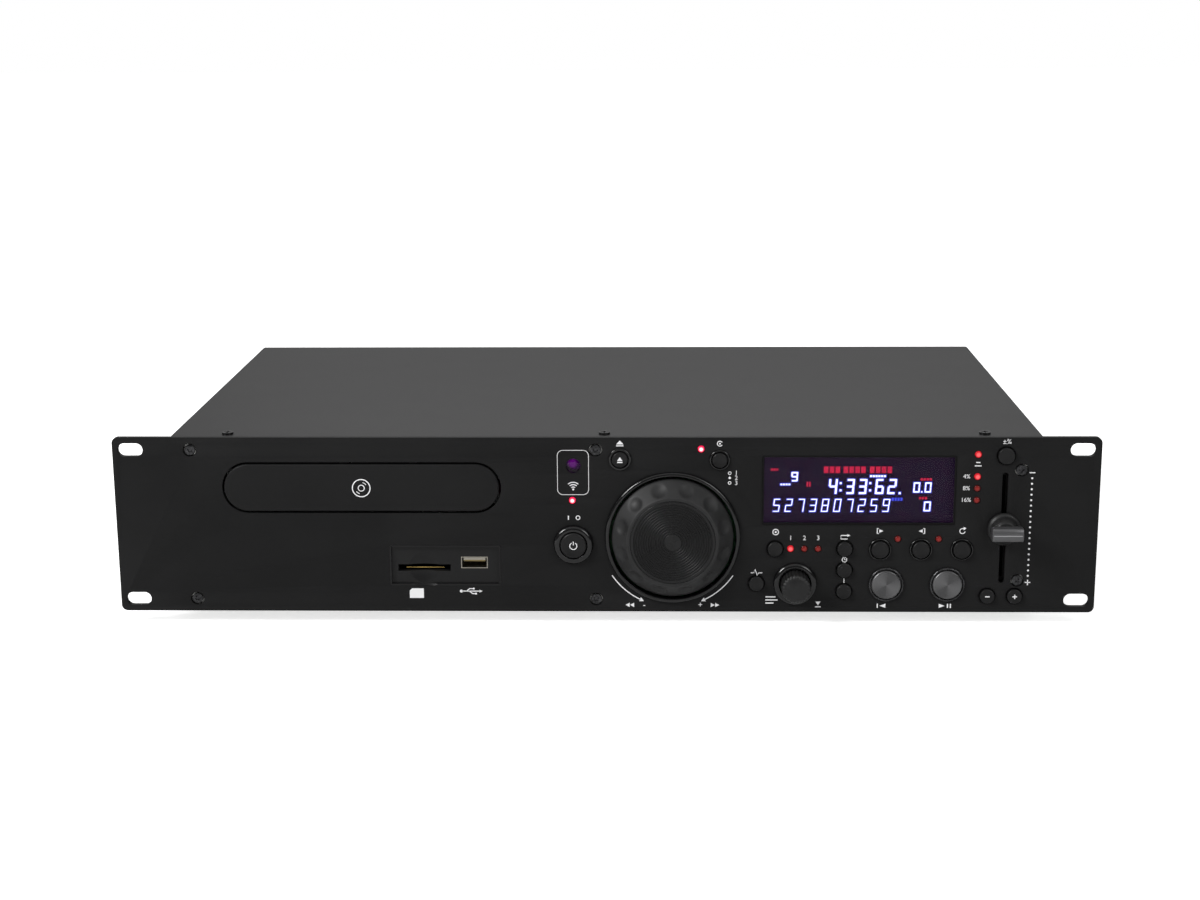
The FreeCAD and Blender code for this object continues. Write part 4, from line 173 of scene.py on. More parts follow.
def streak_group() -> bpy.types.NodeTree:
    """Long marks along X, as on rolled or brushed metal."""
    tree, given = new_group("Brushed streaks", {"Vector": "Vector", "Size": "Float", "Drift": "Float"},
                            ("Height", "Patch"))
    stretched = tree.add("VectorMath", {0: given["Vector"], 1: (0.03, 1.0, 1.0)}, operation="MULTIPLY")
    fine = tree.add("TexNoise", {"Vector": stretched.outputs[0], "Detail": 4.0, "Roughness": 0.7,
                                 "Scale": tree.math("DIVIDE", 1.0, given["Size"])})
    broad = tree.add("TexNoise", {"Vector": stretched.outputs[0], "Detail": 2.0,
                                  "Scale": tree.math("DIVIDE", 1.0, given["Drift"])})
    group_out(tree, Height=fine.outputs[0], Patch=tree.ramp(broad.outputs[0], 0.3, 0.7))
    return tree.tree


def turned_group() -> bpy.types.NodeTree:
    """Circular tool marks about the Y axis, with a painted sheen: lighter and darker sectors by angle that
    stand in for the reflection of the circular brushing.
    """
    tree, given = new_group("Turned marks and painted sheen", {"Vector": "Vector", "Size": "Float", "Drift": "Float"},
                            ("Height", "Patch"))
    parts = tree.add("SeparateXYZ", {0: given["Vector"]})
    radius = tree.math("SQRT", tree.math("ADD", tree.math("MULTIPLY", parts.outputs[0], parts.outputs[0]),
                                         tree.math("MULTIPLY", parts.outputs[2], parts.outputs[2])))
    along = tree.math("DIVIDE", radius, given["Size"])
    marks = tree.add("TexNoise", {"W": along, "Scale": 1.0, "Detail": 3.0}, noise_dimensions="1D")
    # Painted sheen: the tone rises and falls twice round the axis in place of the light that circular
    # brushing catches, and is mixed below with the real tool marks.
    angle = tree.math("ARCTAN2", parts.outputs[2], parts.outputs[0])
    sheen_fan = tree.math("COSINE", tree.math("MULTIPLY_ADD", angle, 2.0, 1.1))
    drift = tree.math("MULTIPLY_ADD", sheen_fan, 0.5, 0.5)
    marks_and_sheen = tree.math("ADD", tree.math("MULTIPLY", drift, 0.7), tree.math("MULTIPLY", marks.outputs[0], 0.4))
    group_out(tree, Height=marks.outputs[0], Patch=marks_and_sheen)
    return tree.tree


def dust_group() -> bpy.types.NodeTree:
    """A thin scatter of dust on what faces up."""
    tree, given = new_group("Settled dust", {"Vector": "Vector", "Normal": "Vector"}, ("Cover",))
    up = tree.add("SeparateXYZ", {0: given["Normal"]}).outputs[2]
    specks = tree.add("TexNoise", {"Vector": given["Vector"], "Scale": 420.0, "Detail": 4.0,
                                   "Roughness": 0.75})
    clouds = tree.add("TexNoise", {"Vector": given["Vector"], "Scale": 14.0, "Detail": 2.0})
    fleck = tree.ramp(specks.outputs[0], 0.55, 0.8)
    veil = tree.ramp(clouds.outputs[0], 0.35, 0.75)
    facing = tree.ramp(up, 0.5, 0.95)
    group_out(tree, Cover=tree.math("MULTIPLY", tree.math("MULTIPLY", fleck, veil), facing))
    return tree.tree


def zone_group() -> bpy.types.NodeTree:
    """A mask that is 1 inside a box, or inside a rod along Y."""
    inputs = {"Vector": "Vector", "Centre": "Vector", "Half": "Vector", "Round": "Float"}
    tree, given = new_group("Zone mask", inputs, ("Mask",))
    away = tree.add("VectorMath", {0: given["Vector"], 1: given["Centre"]}, operation="SUBTRACT")
    size = tree.add("VectorMath", {0: away.outputs[0]}, operation="ABSOLUTE")
    off = tree.add("SeparateXYZ", {0: size.outputs[0]}).outputs
    half = tree.add("SeparateXYZ", {0: given["Half"]}).outputs
    within = [tree.math("LESS_THAN", off[i], half[i]) for i in range(3)]
    flat = tree.math("SQRT", tree.math("ADD", tree.math("MULTIPLY", off[0], off[0]),
                                       tree.math("MULTIPLY", off[2], off[2])))
    square = tree.math("MULTIPLY", within[0], within[2])
    disc = tree.math("LESS_THAN", flat, half[0])
    choice = tree.math("ADD", tree.math("MULTIPLY", disc, given["Round"]),
                       tree.math("MULTIPLY", square, tree.math("SUBTRACT", 1.0, given["Round"])))
    group_out(tree, Mask=tree.math("MULTIPLY", choice, within[1]))
    return tree.tree


class Pattern(Enum):
    """How the fine marks of a surface run."""

    GRAIN = "Surface grain"
    STREAKS = "Brushed streaks"
    # Turned marks also carry a painted sheen of lighter and darker sectors.
    TURNED_WITH_SHEEN = "Turned marks and painted sheen"


@dataclass(frozen=True)
class Zone:
    """A part of a surface in another material, such as a contact or an insulator.

    Attributes:
        centre: its middle.
        half: half its size along each axis; a round zone's radius comes first.
        colour: its colour, linear.
        roughness: its roughness.
        metallic: 1 for bare metal.
        is_round: whether it is a rod along Y instead of a box.
    """

    centre: tuple[float, float, float]
    half: tuple[float, float, float]
    colour: Colour
    roughness: float = 0.4
    metallic: float = 0.0
    is_round: bool = False


@dataclass(frozen=True)
class Finish:
    """A paint, plastic or metal surface.

    Attributes:
        name: the material's name.
        colour: its mean colour, linear.
        roughness: its mean roughness.
        metallic: 1 for bare metal.
        pattern: how its marks run.
        grain: the size of its fine marks.
        drift: the size of its slow changes of tone.
        relief: the depth of the marks.
        change: the share by which tone and roughness change.
        specular: the strength of its plain reflection, 0.5 for most plastics.
        coat: the weight of a clear coat.
        dust: the share of light dust on what faces up.
    """

    name: str
    colour: Colour
    roughness: float = 0.5
    metallic: float = 0.0
    pattern: Pattern = Pattern.GRAIN
    grain: float = 0.35 * MM
    drift: float = 30 * MM
    relief: float = 0.02 * MM
    change: float = 0.12
    specular: float = 0.5
    coat: float = 0.0
    dust: float = 0.0

    def material(self, centre: Sequence[float] = (0.0, 0.0, 0.0),
                 zones: Sequence[Zone] = ()) -> bpy.types.Material:
        """Builds the material.

        Args:
            centre: the point that the pattern is centred on.
            zones: parts of the surface in another material.

        Returns:
            The material, made once for each finish and centre.
        """
        place = place_name(zones[0].centre if zones else centre)
        label = self.name if place == "0_0_0" else f"{self.name} at {place}"
        if label in bpy.data.materials:
            return bpy.data.materials[label]
        made, tree, shader = new_material(label)
        coords = tree.add("TexCoord").outputs["Object"]
        mapped = tree.add("Mapping", {"Vector": coords, "Location": [-value for value in centre]}).outputs[0]
        marks = tree.add("Group", node_tree=bpy.data.node_groups[self.pattern.value])
        tree.link(mapped, marks.inputs["Vector"])
        marks.inputs["Size"].default_value = self.grain
        marks.inputs["Drift"].default_value = self.drift
        dark = tuple(value * (1 - self.change) for value in self.colour) + (1.0,)
        light = tuple(min(1.0, value * (1 + self.change)) for value in self.colour) + (1.0,)
        tone = tree.blend(marks.outputs["Patch"], dark, light)
        rough = tree.ramp(marks.outputs["Patch"], 0.0, 1.0, self.roughness * (1 - self.change / 2),
                          min(1.0, self.roughness * (1 + self.change / 2)))
        if self.dust:
            veil = tree.add("Group", node_tree=bpy.data.node_groups["Settled dust"])
            tree.link(coords, veil.inputs["Vector"])
            tree.link(tree.add("NewGeometry").outputs["Normal"], veil.inputs["Normal"])
            cover = tree.math("MULTIPLY", veil.outputs["Cover"], self.dust)
            tone = tree.blend(cover, tone, DUST_TONE)
            rough = tree.math("ADD", rough, tree.math("MULTIPLY", cover, DUST_ROUGH))
        metal = None
        for zone in zones:
            mask = tree.add("Group", node_tree=bpy.data.node_groups["Zone mask"])
            tree.link(coords, mask.inputs["Vector"])
            mask.inputs["Centre"].default_value = zone.centre
            mask.inputs["Half"].default_value = zone.half
            mask.inputs["Round"].default_value = 1.0 if zone.is_round else 0.0
            share = mask.outputs["Mask"]
            deep = tuple(value * (1 - self.change) for value in zone.colour) + (1.0,)
            own = tree.blend(marks.outputs["Patch"], deep, zone.colour + (1.0,))
            tone = tree.blend(share, tone, own)
            rough = tree.add("Mix", {0: share, 2: rough, 3: zone.roughness}).outputs[0]
            before = self.metallic if metal is None else metal
            metal = tree.add("Mix", {0: share, 2: before, 3: zone.metallic}).outputs[0]
        if metal is not None:
            tree.link(metal, shader.inputs["Metallic"])
        bump = tree.add("Bump", {"Strength": 1.0, "Distance": self.relief, "Height": marks.outputs["Height"]})
        tree.link(tone, shader.inputs["Base Color"])
        tree.link(rough, shader.inputs["Roughness"])
        tree.link(bump.outputs[0], shader.inputs["Normal"])
        if metal is None:
            shader.inputs["Metallic"].default_value = self.metallic
        shader.inputs["Specular IOR Level"].default_value = self.specular
        shader.inputs["Coat Weight"].default_value = self.coat
        shader.inputs["Coat Roughness"].default_value = COAT_ROUGH
        return made


@dataclass(frozen=True)
class Glow:
    """A lit surface: its colour changes from a core to a rim, or stays even.

    Attributes:
        name: the material's name.
        core: the colour in the middle, linear.
        rim: the colour at the edge, linear.
        strength: how brightly it glows.
        radius: how far the core's colour reaches from the centre; 0 leaves it even.
        body: the colour of the moulding itself.
        shine: the strength of its plain reflection.
    """

    name: str
    core: Colour
    rim: Colour
    strength: float
    radius: float = 0.0
    body: Colour = (0.1, 0.02, 0.02)
    shine: float = 0.1

    def material(self, centre: Sequence[float] = (0.0, 0.0, 0.0)) -> bpy.types.Material:
        """Builds the material about a centre and returns it."""
        label = f"{self.name} at {place_name(centre)}" if self.radius else self.name
        if label in bpy.data.materials:
            return bpy.data.materials[label]
        made, tree, shader = new_material(label)
        coords = tree.add("TexCoord").outputs["Object"]
        if self.radius:
            away = tree.add("VectorMath", {0: coords, 1: [-value for value in centre]}, operation="ADD")
            flat = tree.add("VectorMath", {0: away.outputs[0], 1: (1.0, 0.0, 1.0)}, operation="MULTIPLY")
            reach = tree.add("VectorMath", {0: flat.outputs[0]}, operation="LENGTH").outputs["Value"]
            share = tree.ramp(reach, self.radius * 0.35, self.radius)
        else:
            share = tree.ramp(tree.add("TexNoise", {"Vector": coords, "Scale": 300.0}).outputs[0], 0.3, 0.7)
        light = tree.blend(share, self.core + (1.0,), self.rim + (1.0,))
        tree.link(light, shader.inputs["Emission Color"])
        shader.inputs["Emission Strength"].default_value = self.strength
        dim = tuple(value * 0.7 for value in self.body) + (1.0,)
        tree.link(tree.blend(share, self.body + (1.0,), dim), shader.inputs["Base Color"])
        shader.inputs["Roughness"].default_value = 0.25
        shader.inputs["Specular IOR Level"].default_value = self.shine
        return made


@dataclass(frozen=True)
class Clear:
    """A clear or smoked window.

    Attributes:
        name: the material's name.
        tint: the colour that light takes on its way through.
        roughness: its surface's roughness.
        smear: how much wiped streaks change the roughness.
        bend: its refractive index; a low one stands for a coated window.
    """

    name: str
    tint: Colour
    roughness: float = 0.02
    smear: float = 0.06
    bend: float = 1.45

    def material(self) -> bpy.types.Material:
        """Builds the material and returns it."""
        if self.name in bpy.data.materials:
            return bpy.data.materials[self.name]
        made, tree, shader = new_material(self.name)
        coords = tree.add("TexCoord").outputs["Object"]
        noise = {"Vector": coords, "Scale": 60.0, "Detail": 3.0, "Distortion": 1.5}
        wipes = tree.add("TexNoise", noise).outputs[0]
        rough = tree.ramp(wipes, 0.35, 0.75, self.roughness, self.roughness + self.smear)
        shade = tree.blend(wipes, tuple(value * 0.92 for value in self.tint) + (1.0,), self.tint + (1.0,))
        tree.link(rough, shader.inputs["Roughness"])
        tree.link(shade, shader.inputs["Base Color"])
        shader.inputs["Transmission Weight"].default_value = 1.0
        shader.inputs["IOR"].default_value = self.bend
        return made


@dataclass(frozen=True)
class Board:
    """A circuit board: laminate with tracks, and mouldings that stand off its surface.

    Attributes:
        name: the material's name.
        level: where the laminate's face lies along the axis.
        axis: 1 when the board stands along Y, 2 when it lies flat.
        sign: the side of the face that the components stand on.
    """

    name: str
    level: float
    axis: int = 2
    sign: float = 1.0

    def material(self) -> bpy.types.Material:
        """Builds the material and returns it."""
        made, tree, shader = new_material(self.name)
        coords = tree.add("TexCoord").outputs["Object"]
        height = tree.add("SeparateXYZ", {0: coords}).outputs[self.axis]
        off = tree.math("MULTIPLY", tree.math("SUBTRACT", height, self.level), self.sign)
        part = tree.math("GREATER_THAN", off, 0.05 * MM)
        cells = tree.add("TexVoronoi", {"Vector": coords, "Scale": 90.0}, feature="F1", distance="MANHATTAN")
        track = tree.ramp(cells.outputs["Distance"], 0.28, 0.34)
        laminate = tree.blend(track, (0.012, 0.10, 0.03, 1.0), (0.02, 0.17, 0.05, 1.0))
        shade = tree.add("TexNoise", {"Vector": coords, "Scale": 35.0}).outputs[0]
        moulding = tree.blend(tree.ramp(shade, 0.45, 0.6), (0.015, 0.015, 0.016, 1.0),
                              (0.06, 0.06, 0.065, 1.0))
        tree.link(tree.blend(part, laminate, moulding), shader.inputs["Base Color"])
        tree.link(tree.ramp(track, 0.0, 1.0, 0.35, 0.5), shader.inputs["Roughness"])
        return made


PANEL_PAINT = Finish("panel paint", (0.0105, 0.0105, 0.0107), 0.42, grain=0.30 * MM, specular=0.10,
                     relief=0.012 * MM, change=0.10, drift=60 * MM)
CASE_PAINT = Finish("case paint", (0.0105, 0.0105, 0.0107), 0.36, grain=0.45 * MM, relief=0.02 * MM,
                    specular=0.18, drift=90 * MM, change=0.08, dust=0.03)
ZINC = Finish("zinc sheet", (0.50, 0.50, 0.48), 0.38, metallic=1.0, pattern=Pattern.STREAKS, grain=0.6 * MM,
              relief=0.01 * MM, change=0.14)
SCREW_BLACK = Finish("black oxide", (0.046, 0.046, 0.048), 0.22, metallic=0.9, grain=0.25 * MM, change=0.45,
                     drift=1.2 * MM, relief=0.03 * MM)
RUBBER = Finish("foot rubber", (0.014, 0.014, 0.014), 0.82, grain=0.3 * MM, relief=0.05 * MM, specular=0.3)
CAP_BLACK = Finish("button black", (0.0095, 0.0095, 0.0097), 0.36, grain=0.2 * MM, drift=5 * MM, specular=0.2)
# The cue and play caps' turned pattern paints a sheen of lighter and darker sectors into their tone.
CAP_SMOKE = Finish("smoke metal", (0.094, 0.094, 0.096), 0.3, metallic=0.6, pattern=Pattern.TURNED_WITH_SHEEN,
                   grain=0.16 * MM, relief=0.03 * MM, change=0.5)
TRIM = Finish("trim gloss", (0.0040, 0.0040, 0.0042), 0.14, grain=0.5 * MM, relief=0.003 * MM, specular=0.42,
              drift=12 * MM)
RING_SMOKE = Finish("smoke ring", (0.045, 0.045, 0.047), 0.26, metallic=0.7, grain=0.25 * MM, drift=2 * MM,
                    relief=0.01 * MM, change=0.35)
WHEEL = Finish("wheel soft black", (0.0180, 0.0180, 0.0183), 0.5, grain=0.4 * MM, relief=0.03 * MM,
               drift=9 * MM, specular=0.25, change=0.14)
# The pad's turned pattern paints a sheen of lighter and darker sectors into its tone.
PAD = Finish("pad black", (0.0065, 0.0065, 0.0067), 0.28, pattern=Pattern.TURNED_WITH_SHEEN, grain=0.25 * MM,
             specular=0.28, change=0.4)
KNOB = Finish("knob black", (0.0105, 0.0105, 0.0107), 0.42, grain=0.3 * MM, drift=4 * MM, specular=0.3)
STEEL = Finish("ground steel", (0.55, 0.55, 0.55), 0.25, metallic=1.0, pattern=Pattern.STREAKS,
               grain=0.2 * MM)
SLIDER_GREY = Finish("slider grey", (0.088, 0.088, 0.091), 0.28, metallic=0.5, pattern=Pattern.STREAKS,
                     grain=0.12 * MM, change=0.2, relief=0.006 * MM)
BAY_BLACK = Finish("bay black", (0.0085, 0.0085, 0.0087), 0.34, grain=0.3 * MM, specular=0.20)
SLOT_BLACK = Finish("slot black", (0.004, 0.004, 0.004), 0.6, grain=0.3 * MM, specular=0.15)
NICKEL = Finish("nickel shell", (0.52, 0.49, 0.42), 0.24, metallic=1.0, pattern=Pattern.STREAKS,
                grain=0.3 * MM)
PORT_SHELL = Finish("port shell", (0.36, 0.34, 0.29), 0.3, metallic=1.0, pattern=Pattern.STREAKS,
                    grain=0.3 * MM)
BRASS = Finish("brass contacts", (0.66, 0.46, 0.15), 0.3, metallic=1.0, pattern=Pattern.STREAKS,
               grain=0.2 * MM)
TRAY_BLACK = Finish("tray black", (0.016, 0.016, 0.0165), 0.52, grain=0.3 * MM, specular=0.35)
FRAME_GREY = Finish("frame grey", (0.08, 0.08, 0.082), 0.55, grain=0.4 * MM)
ACETAL = Finish("white acetal", (0.66, 0.65, 0.60), 0.4, grain=0.3 * MM, change=0.05)
BELT = Finish("belt rubber", (0.015, 0.015, 0.015), 0.7, grain=0.2 * MM)
INLET_BLACK = Finish("inlet black", (0.012, 0.012, 0.012), 0.28, grain=0.4 * MM)
JACK_WHITE = Finish("jack white", (0.68, 0.68, 0.66), 0.35, grain=0.2 * MM, change=0.04)
JACK_RED = Finish("jack red", (0.50, 0.02, 0.02), 0.35, grain=0.2 * MM, change=0.06)
JACK_ORANGE = Finish("jack orange", (0.62, 0.16, 0.01), 0.35, grain=0.2 * MM, change=0.06)
INK = Finish("white ink", (0.80, 0.80, 0.81), 0.6, grain=0.15 * MM, relief=0.002 * MM, change=0.04)
INDEX = Finish("index line", (0.34, 0.34, 0.35), 0.4, grain=0.15 * MM, relief=0.002 * MM, change=0.1)
SENSOR = Clear("sensor filter", (0.34, 0.06, 0.42), 0.04, 0.05, 1.3)
WINDOW = Clear("smoked window", (0.80, 0.74, 0.88), 0.012, 0.02, 1.14)
TUBE = Glow("display ground", (0.0085, 0.0042, 0.015), (0.017, 0.0055, 0.020), 0.8,
            body=(0.006, 0.004, 0.008))
DIGIT_CORE = Glow("digit core", (0.86, 0.96, 1.0), (0.78, 0.92, 1.0), 1.8, body=(0.3, 0.3, 0.35))
DIGIT_RIM = Glow("digit rim", (0.015, 0.035, 0.70), (0.015, 0.03, 0.60), 1.0, body=(0.02, 0.02, 0.06))
RED_BLOCK = Glow("red block", (0.66, 0.010, 0.05), (0.50, 0.008, 0.045), 1.1)
BLUE_BLOCK = Glow("blue block", (0.02, 0.09, 0.95), (0.02, 0.08, 0.8), 1.1)
LAMP_LIT = Glow("lamp lit", (1.0, 0.72, 0.72), (0.80, 0.006, 0.06), 1.7, 1.3 * MM)
LAMP_SOFT = Glow("lamp soft", (1.0, 0.13, 0.14), (0.55, 0.006, 0.015), 1.1, 1.4 * MM)
# An unlit lamp: a faint painted glow, brighter in its middle, stands in for light caught in its red lens.
LAMP_OFF_PAINTED_GLOW = Glow("lamp dark painted glow", (0.22, 0.014, 0.010), (0.04, 0.003, 0.003), 0.55, 1.4 * MM,
                (0.12, 0.006, 0.005), 0.3)


# Outlines and meshes


def arc(x: float, z: float, radius: float, start: float, end: float, steps: int = 12) -> Outline:
    """Points along an arc; angles are degrees from +X towards +Z."""
    turns = [math.radians(start + (end - start) * i / steps) for i in range(steps + 1)]
    return [(x + radius * math.cos(turn), z + radius * math.sin(turn)) for turn in turns]


def circle(x: float, z: float, radius: float, steps: int = 64) -> Outline:
    """A circle's outline."""
    return arc(x, z, radius, 0, 360, steps)[:-1]


def rounded(x: float, z: float, wide: float, tall: float, radius: float, steps: int = 8) -> Outline:
    """A rectangle's outline about its middle, with rounded corners."""
    across, up = wide / 2 - radius, tall / 2 - radius
    points: Outline = []
    for side, level, start in ((1, 1, 0), (-1, 1, 90), (-1, -1, 180), (1, -1, 270)):
        points += arc(x + side * across, z + level * up, radius, start, start + 90, steps)
    return points


def box(x: float, z: float, wide: float, tall: float, lean: float = 0.0) -> Outline:
    """A plain rectangle about its middle; lean moves its top sideways."""
    half, up = wide / 2, tall / 2
    return [(x - half, z - up), (x + half, z - up), (x + half + lean, z + up), (x - half + lean, z + up)]


def band(points: Outline, width: float) -> Outline:
    """The outline of a line of a given width along points."""
    left: Outline = []
    right: Outline = []
    for i, here in enumerate(points):
        before = Vector(points[max(i - 1, 0)])
        after = Vector(points[min(i + 1, len(points) - 1)])
        along = (after - before).normalized()
        side = Vector((-along.y, along.x)) * width / 2
        left.append((here[0] + side.x, here[1] + side.y))
        right.append((here[0] - side.x, here[1] - side.y))
    return left + right[::-1]


def to_bmesh(mesh: bpy.types.Mesh) -> bmesh.types.BMesh:
    """Takes a mesh over into a merged bmesh with its faces turned outwards."""
    shape = bmesh.new()
    shape.from_mesh(mesh)
    bpy.data.meshes.remove(mesh)
    bmesh.ops.remove_doubles(shape, verts=shape.verts, dist=SAME)
    bmesh.ops.recalc_face_normals(shape, faces=shape.faces)
    return shape


def plate(outlines: Iterable[Outline], thick: float, edge: float = 0.0, steps: int = 1) -> bmesh.types.BMesh:
    """A flat plate in the XY plane, from z = -thick to 0, with rounded edges.

    Args:
        outlines: outer outlines and the holes in them.
        thick: the plate's thickness.
        edge: the radius of its edges.
        steps: how many rows of faces round an edge, less one.

    Returns:
        The plate.
    """
    curve = bpy.data.curves.new("outline", "CURVE")
    curve.dimensions = "2D"
    curve.fill_mode = "BOTH"
    for outline in outlines:
        spline = curve.splines.new("POLY")
        spline.points.add(len(outline) - 1)
        for point, (x, z) in zip(spline.points, outline):
            point.co = (x, z, 0.0, 1.0)
        spline.use_cyclic_u = True
    curve.extrude = thick / 2 - edge
    curve.bevel_depth = edge
    curve.bevel_resolution = steps
    curve.offset = -edge
    holder = bpy.data.objects.new("outline", curve)
    mesh = bpy.data.meshes.new_from_object(holder)
    bpy.data.objects.remove(holder)
    bpy.data.curves.remove(curve)
    shape = to_bmesh(mesh)
    bmesh.ops.translate(shape, vec=(0, 0, -thick / 2), verts=shape.verts)
    return shape


def lettering(text: str, size: float, thick: float) -> bmesh.types.BMesh:
    """Numbers and signs as a flat plate, centred, with their front at z = 0."""
    curve = bpy.data.curves.new("sign", "FONT")
    curve.body = text
    curve.size = size
    curve.align_x = "CENTER"
    curve.align_y = "CENTER"
    curve.extrude = thick / 2
    curve.resolution_u = 3
    holder = bpy.data.objects.new("sign", curve)
    mesh = bpy.data.meshes.new_from_object(holder)
    bpy.data.objects.remove(holder)
    bpy.data.curves.remove(curve)
    shape = to_bmesh(mesh)
    bmesh.ops.translate(shape, vec=(0, 0, -thick / 2), verts=shape.verts)
    return shape


def turned(profile: Sequence[tuple], steps: int = 64) -> bmesh.types.BMesh:
    """Spins a closed profile about the Y axis and rounds chosen edges.

    Args:
        profile: (radius, depth) or (radius, depth, rounding) for each point; depth runs along +Y.
        steps: how many faces go round.

    Returns:
        The turned piece, centred on the Y axis.
    """
    shape = bmesh.new()
    verts = [shape.verts.new((point[0], point[1], 0.0)) for point in profile]
    loop = zip(verts, verts[1:] + verts[:1])
    edges = [shape.edges.new(pair) for pair in loop if any(vert.co.x > 1e-7 for vert in pair)]
    bmesh.ops.spin(shape, geom=verts + edges, cent=(0, 0, 0), axis=(0, 1, 0), dvec=(0, 0, 0),
                   angle=math.tau, steps=steps, use_merge=True)
    bmesh.ops.remove_doubles(shape, verts=shape.verts, dist=SAME)
    bmesh.ops.recalc_face_normals(shape, faces=shape.faces)
    for point in profile:
        if len(point) > 2 and point[2]:
            round_circle(shape, point[0], point[1], point[2])
    return shape


def round_circle(shape: bmesh.types.BMesh, radius: float, depth: float, amount: float,
                 segments: int = 4) -> None:
    """Bevels the circular edge at a radius and depth."""
    def on_it(vert: bmesh.types.BMVert) -> bool:
        """Tell whether it lies on the circle that is rounded."""
        return abs(vert.co.y - depth) < SAME and abs(math.hypot(vert.co.x, vert.co.z) - radius) < SAME

    edges = [edge for edge in shape.edges if on_it(edge.verts[0]) and on_it(edge.verts[1])]
    bmesh.ops.bevel(shape, geom=edges, offset=amount, offset_type="OFFSET", segments=segments, profile=0.5,
                    affect="EDGES", clamp_overlap=True, material=-1)


def join_shapes(first: bmesh.types.BMesh, second: bmesh.types.BMesh) -> bmesh.types.BMesh:
    """Adds the second shape's faces to the first and frees the second."""
    carried = bpy.data.meshes.new("carried")
    second.to_mesh(carried)
    second.free()
    first.from_mesh(carried)
    bpy.data.meshes.remove(carried)
    return first


# The frame's own places


class Record:
    """Where the frame's nodes lie, which body they ride on and which slot they use."""

    def __init__(self) -> None:
        """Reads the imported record."""
        record = frame["record"]
        self.slots = {part["node"]: part["material_slot"] for part in record["subparts"]}
        self.bodies = {node: body for body, nodes in record["behaviour"]["bodies"].items() for node in nodes}
        low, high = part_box("front_panel")
        self.face = low.y
        self.back = high.y
        self.middle = (low.z + high.z) / 2
        self.half_width = (high.x - low.x) / 2
        self.half_height = (high.z - low.z) / 2

    def spot(self, node: str) -> Point:
        """The middle of a node's box on the panel, from the panel's middle."""
        low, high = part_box(node)
        return (low.x + high.x) / 2, (low.z + high.z) / 2 - self.middle

    def reach(self, node: str) -> float:
        """How far a node stands out of the panel's face."""
        return self.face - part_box(node)[0].y

    def on_panel(self, x: float = 0.0, z: float = 0.0, out: float = 0.0) -> Matrix:
        """Turns a flat shape's front to the viewer and puts its origin on the panel."""
        place = Matrix.Translation((x, self.face - out, self.middle + z))
        return place @ Matrix.Rotation(math.pi / 2, 4, "X")

    def at(self, x: float, z: float) -> Matrix:
        """Moves a turned shape from the Y axis to a place on the panel's face."""
        return Matrix.Translation((x, self.face, self.middle + z))


RECORD = Record()


def add_piece(name: str, shape: bmesh.types.BMesh, material: bpy.types.Material, node: str,
              replaces: bool = True, smooth: float = SMOOTH_ANGLE) -> bpy.types.Object:
    """Makes a piece of a shape and ties it to the frame.

    Args:
        name: the piece's name.
        shape: its shape, in place; it is freed.
        material: its finish.
        node: the frame's node whose body it takes.
        replaces: whether it stands for that node.
        smooth: the angle over which an edge stays sharp.

    Returns:
        The new object.
    """
    mesh = bpy.data.meshes.new(name)
    shape.to_mesh(mesh)
    shape.free()
    mesh.materials.append(material)
    mesh.shade_smooth()
    mesh.set_sharp_from_angle(angle=smooth)
    piece = bpy.data.objects.new(name, mesh)
    bpy.context.scene.collection.objects.link(piece)
    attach(piece, RECORD.bodies[node])
    if replaces:
        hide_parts(node)
    log.info("%s: %d faces on %s", name, len(mesh.polygons), RECORD.bodies[node])
    return piece


def dress(node: str, material: bpy.types.Material) -> None:
    """Gives a kept node of the frame its finish."""
    target = frame["nodes"][node]
    if target.material_slots:
        for slot in target.material_slots:
            slot.material = material
    else:
        target.data.materials.append(material)
    log.info("%s: kept, %s", node, material.name)


# Controls


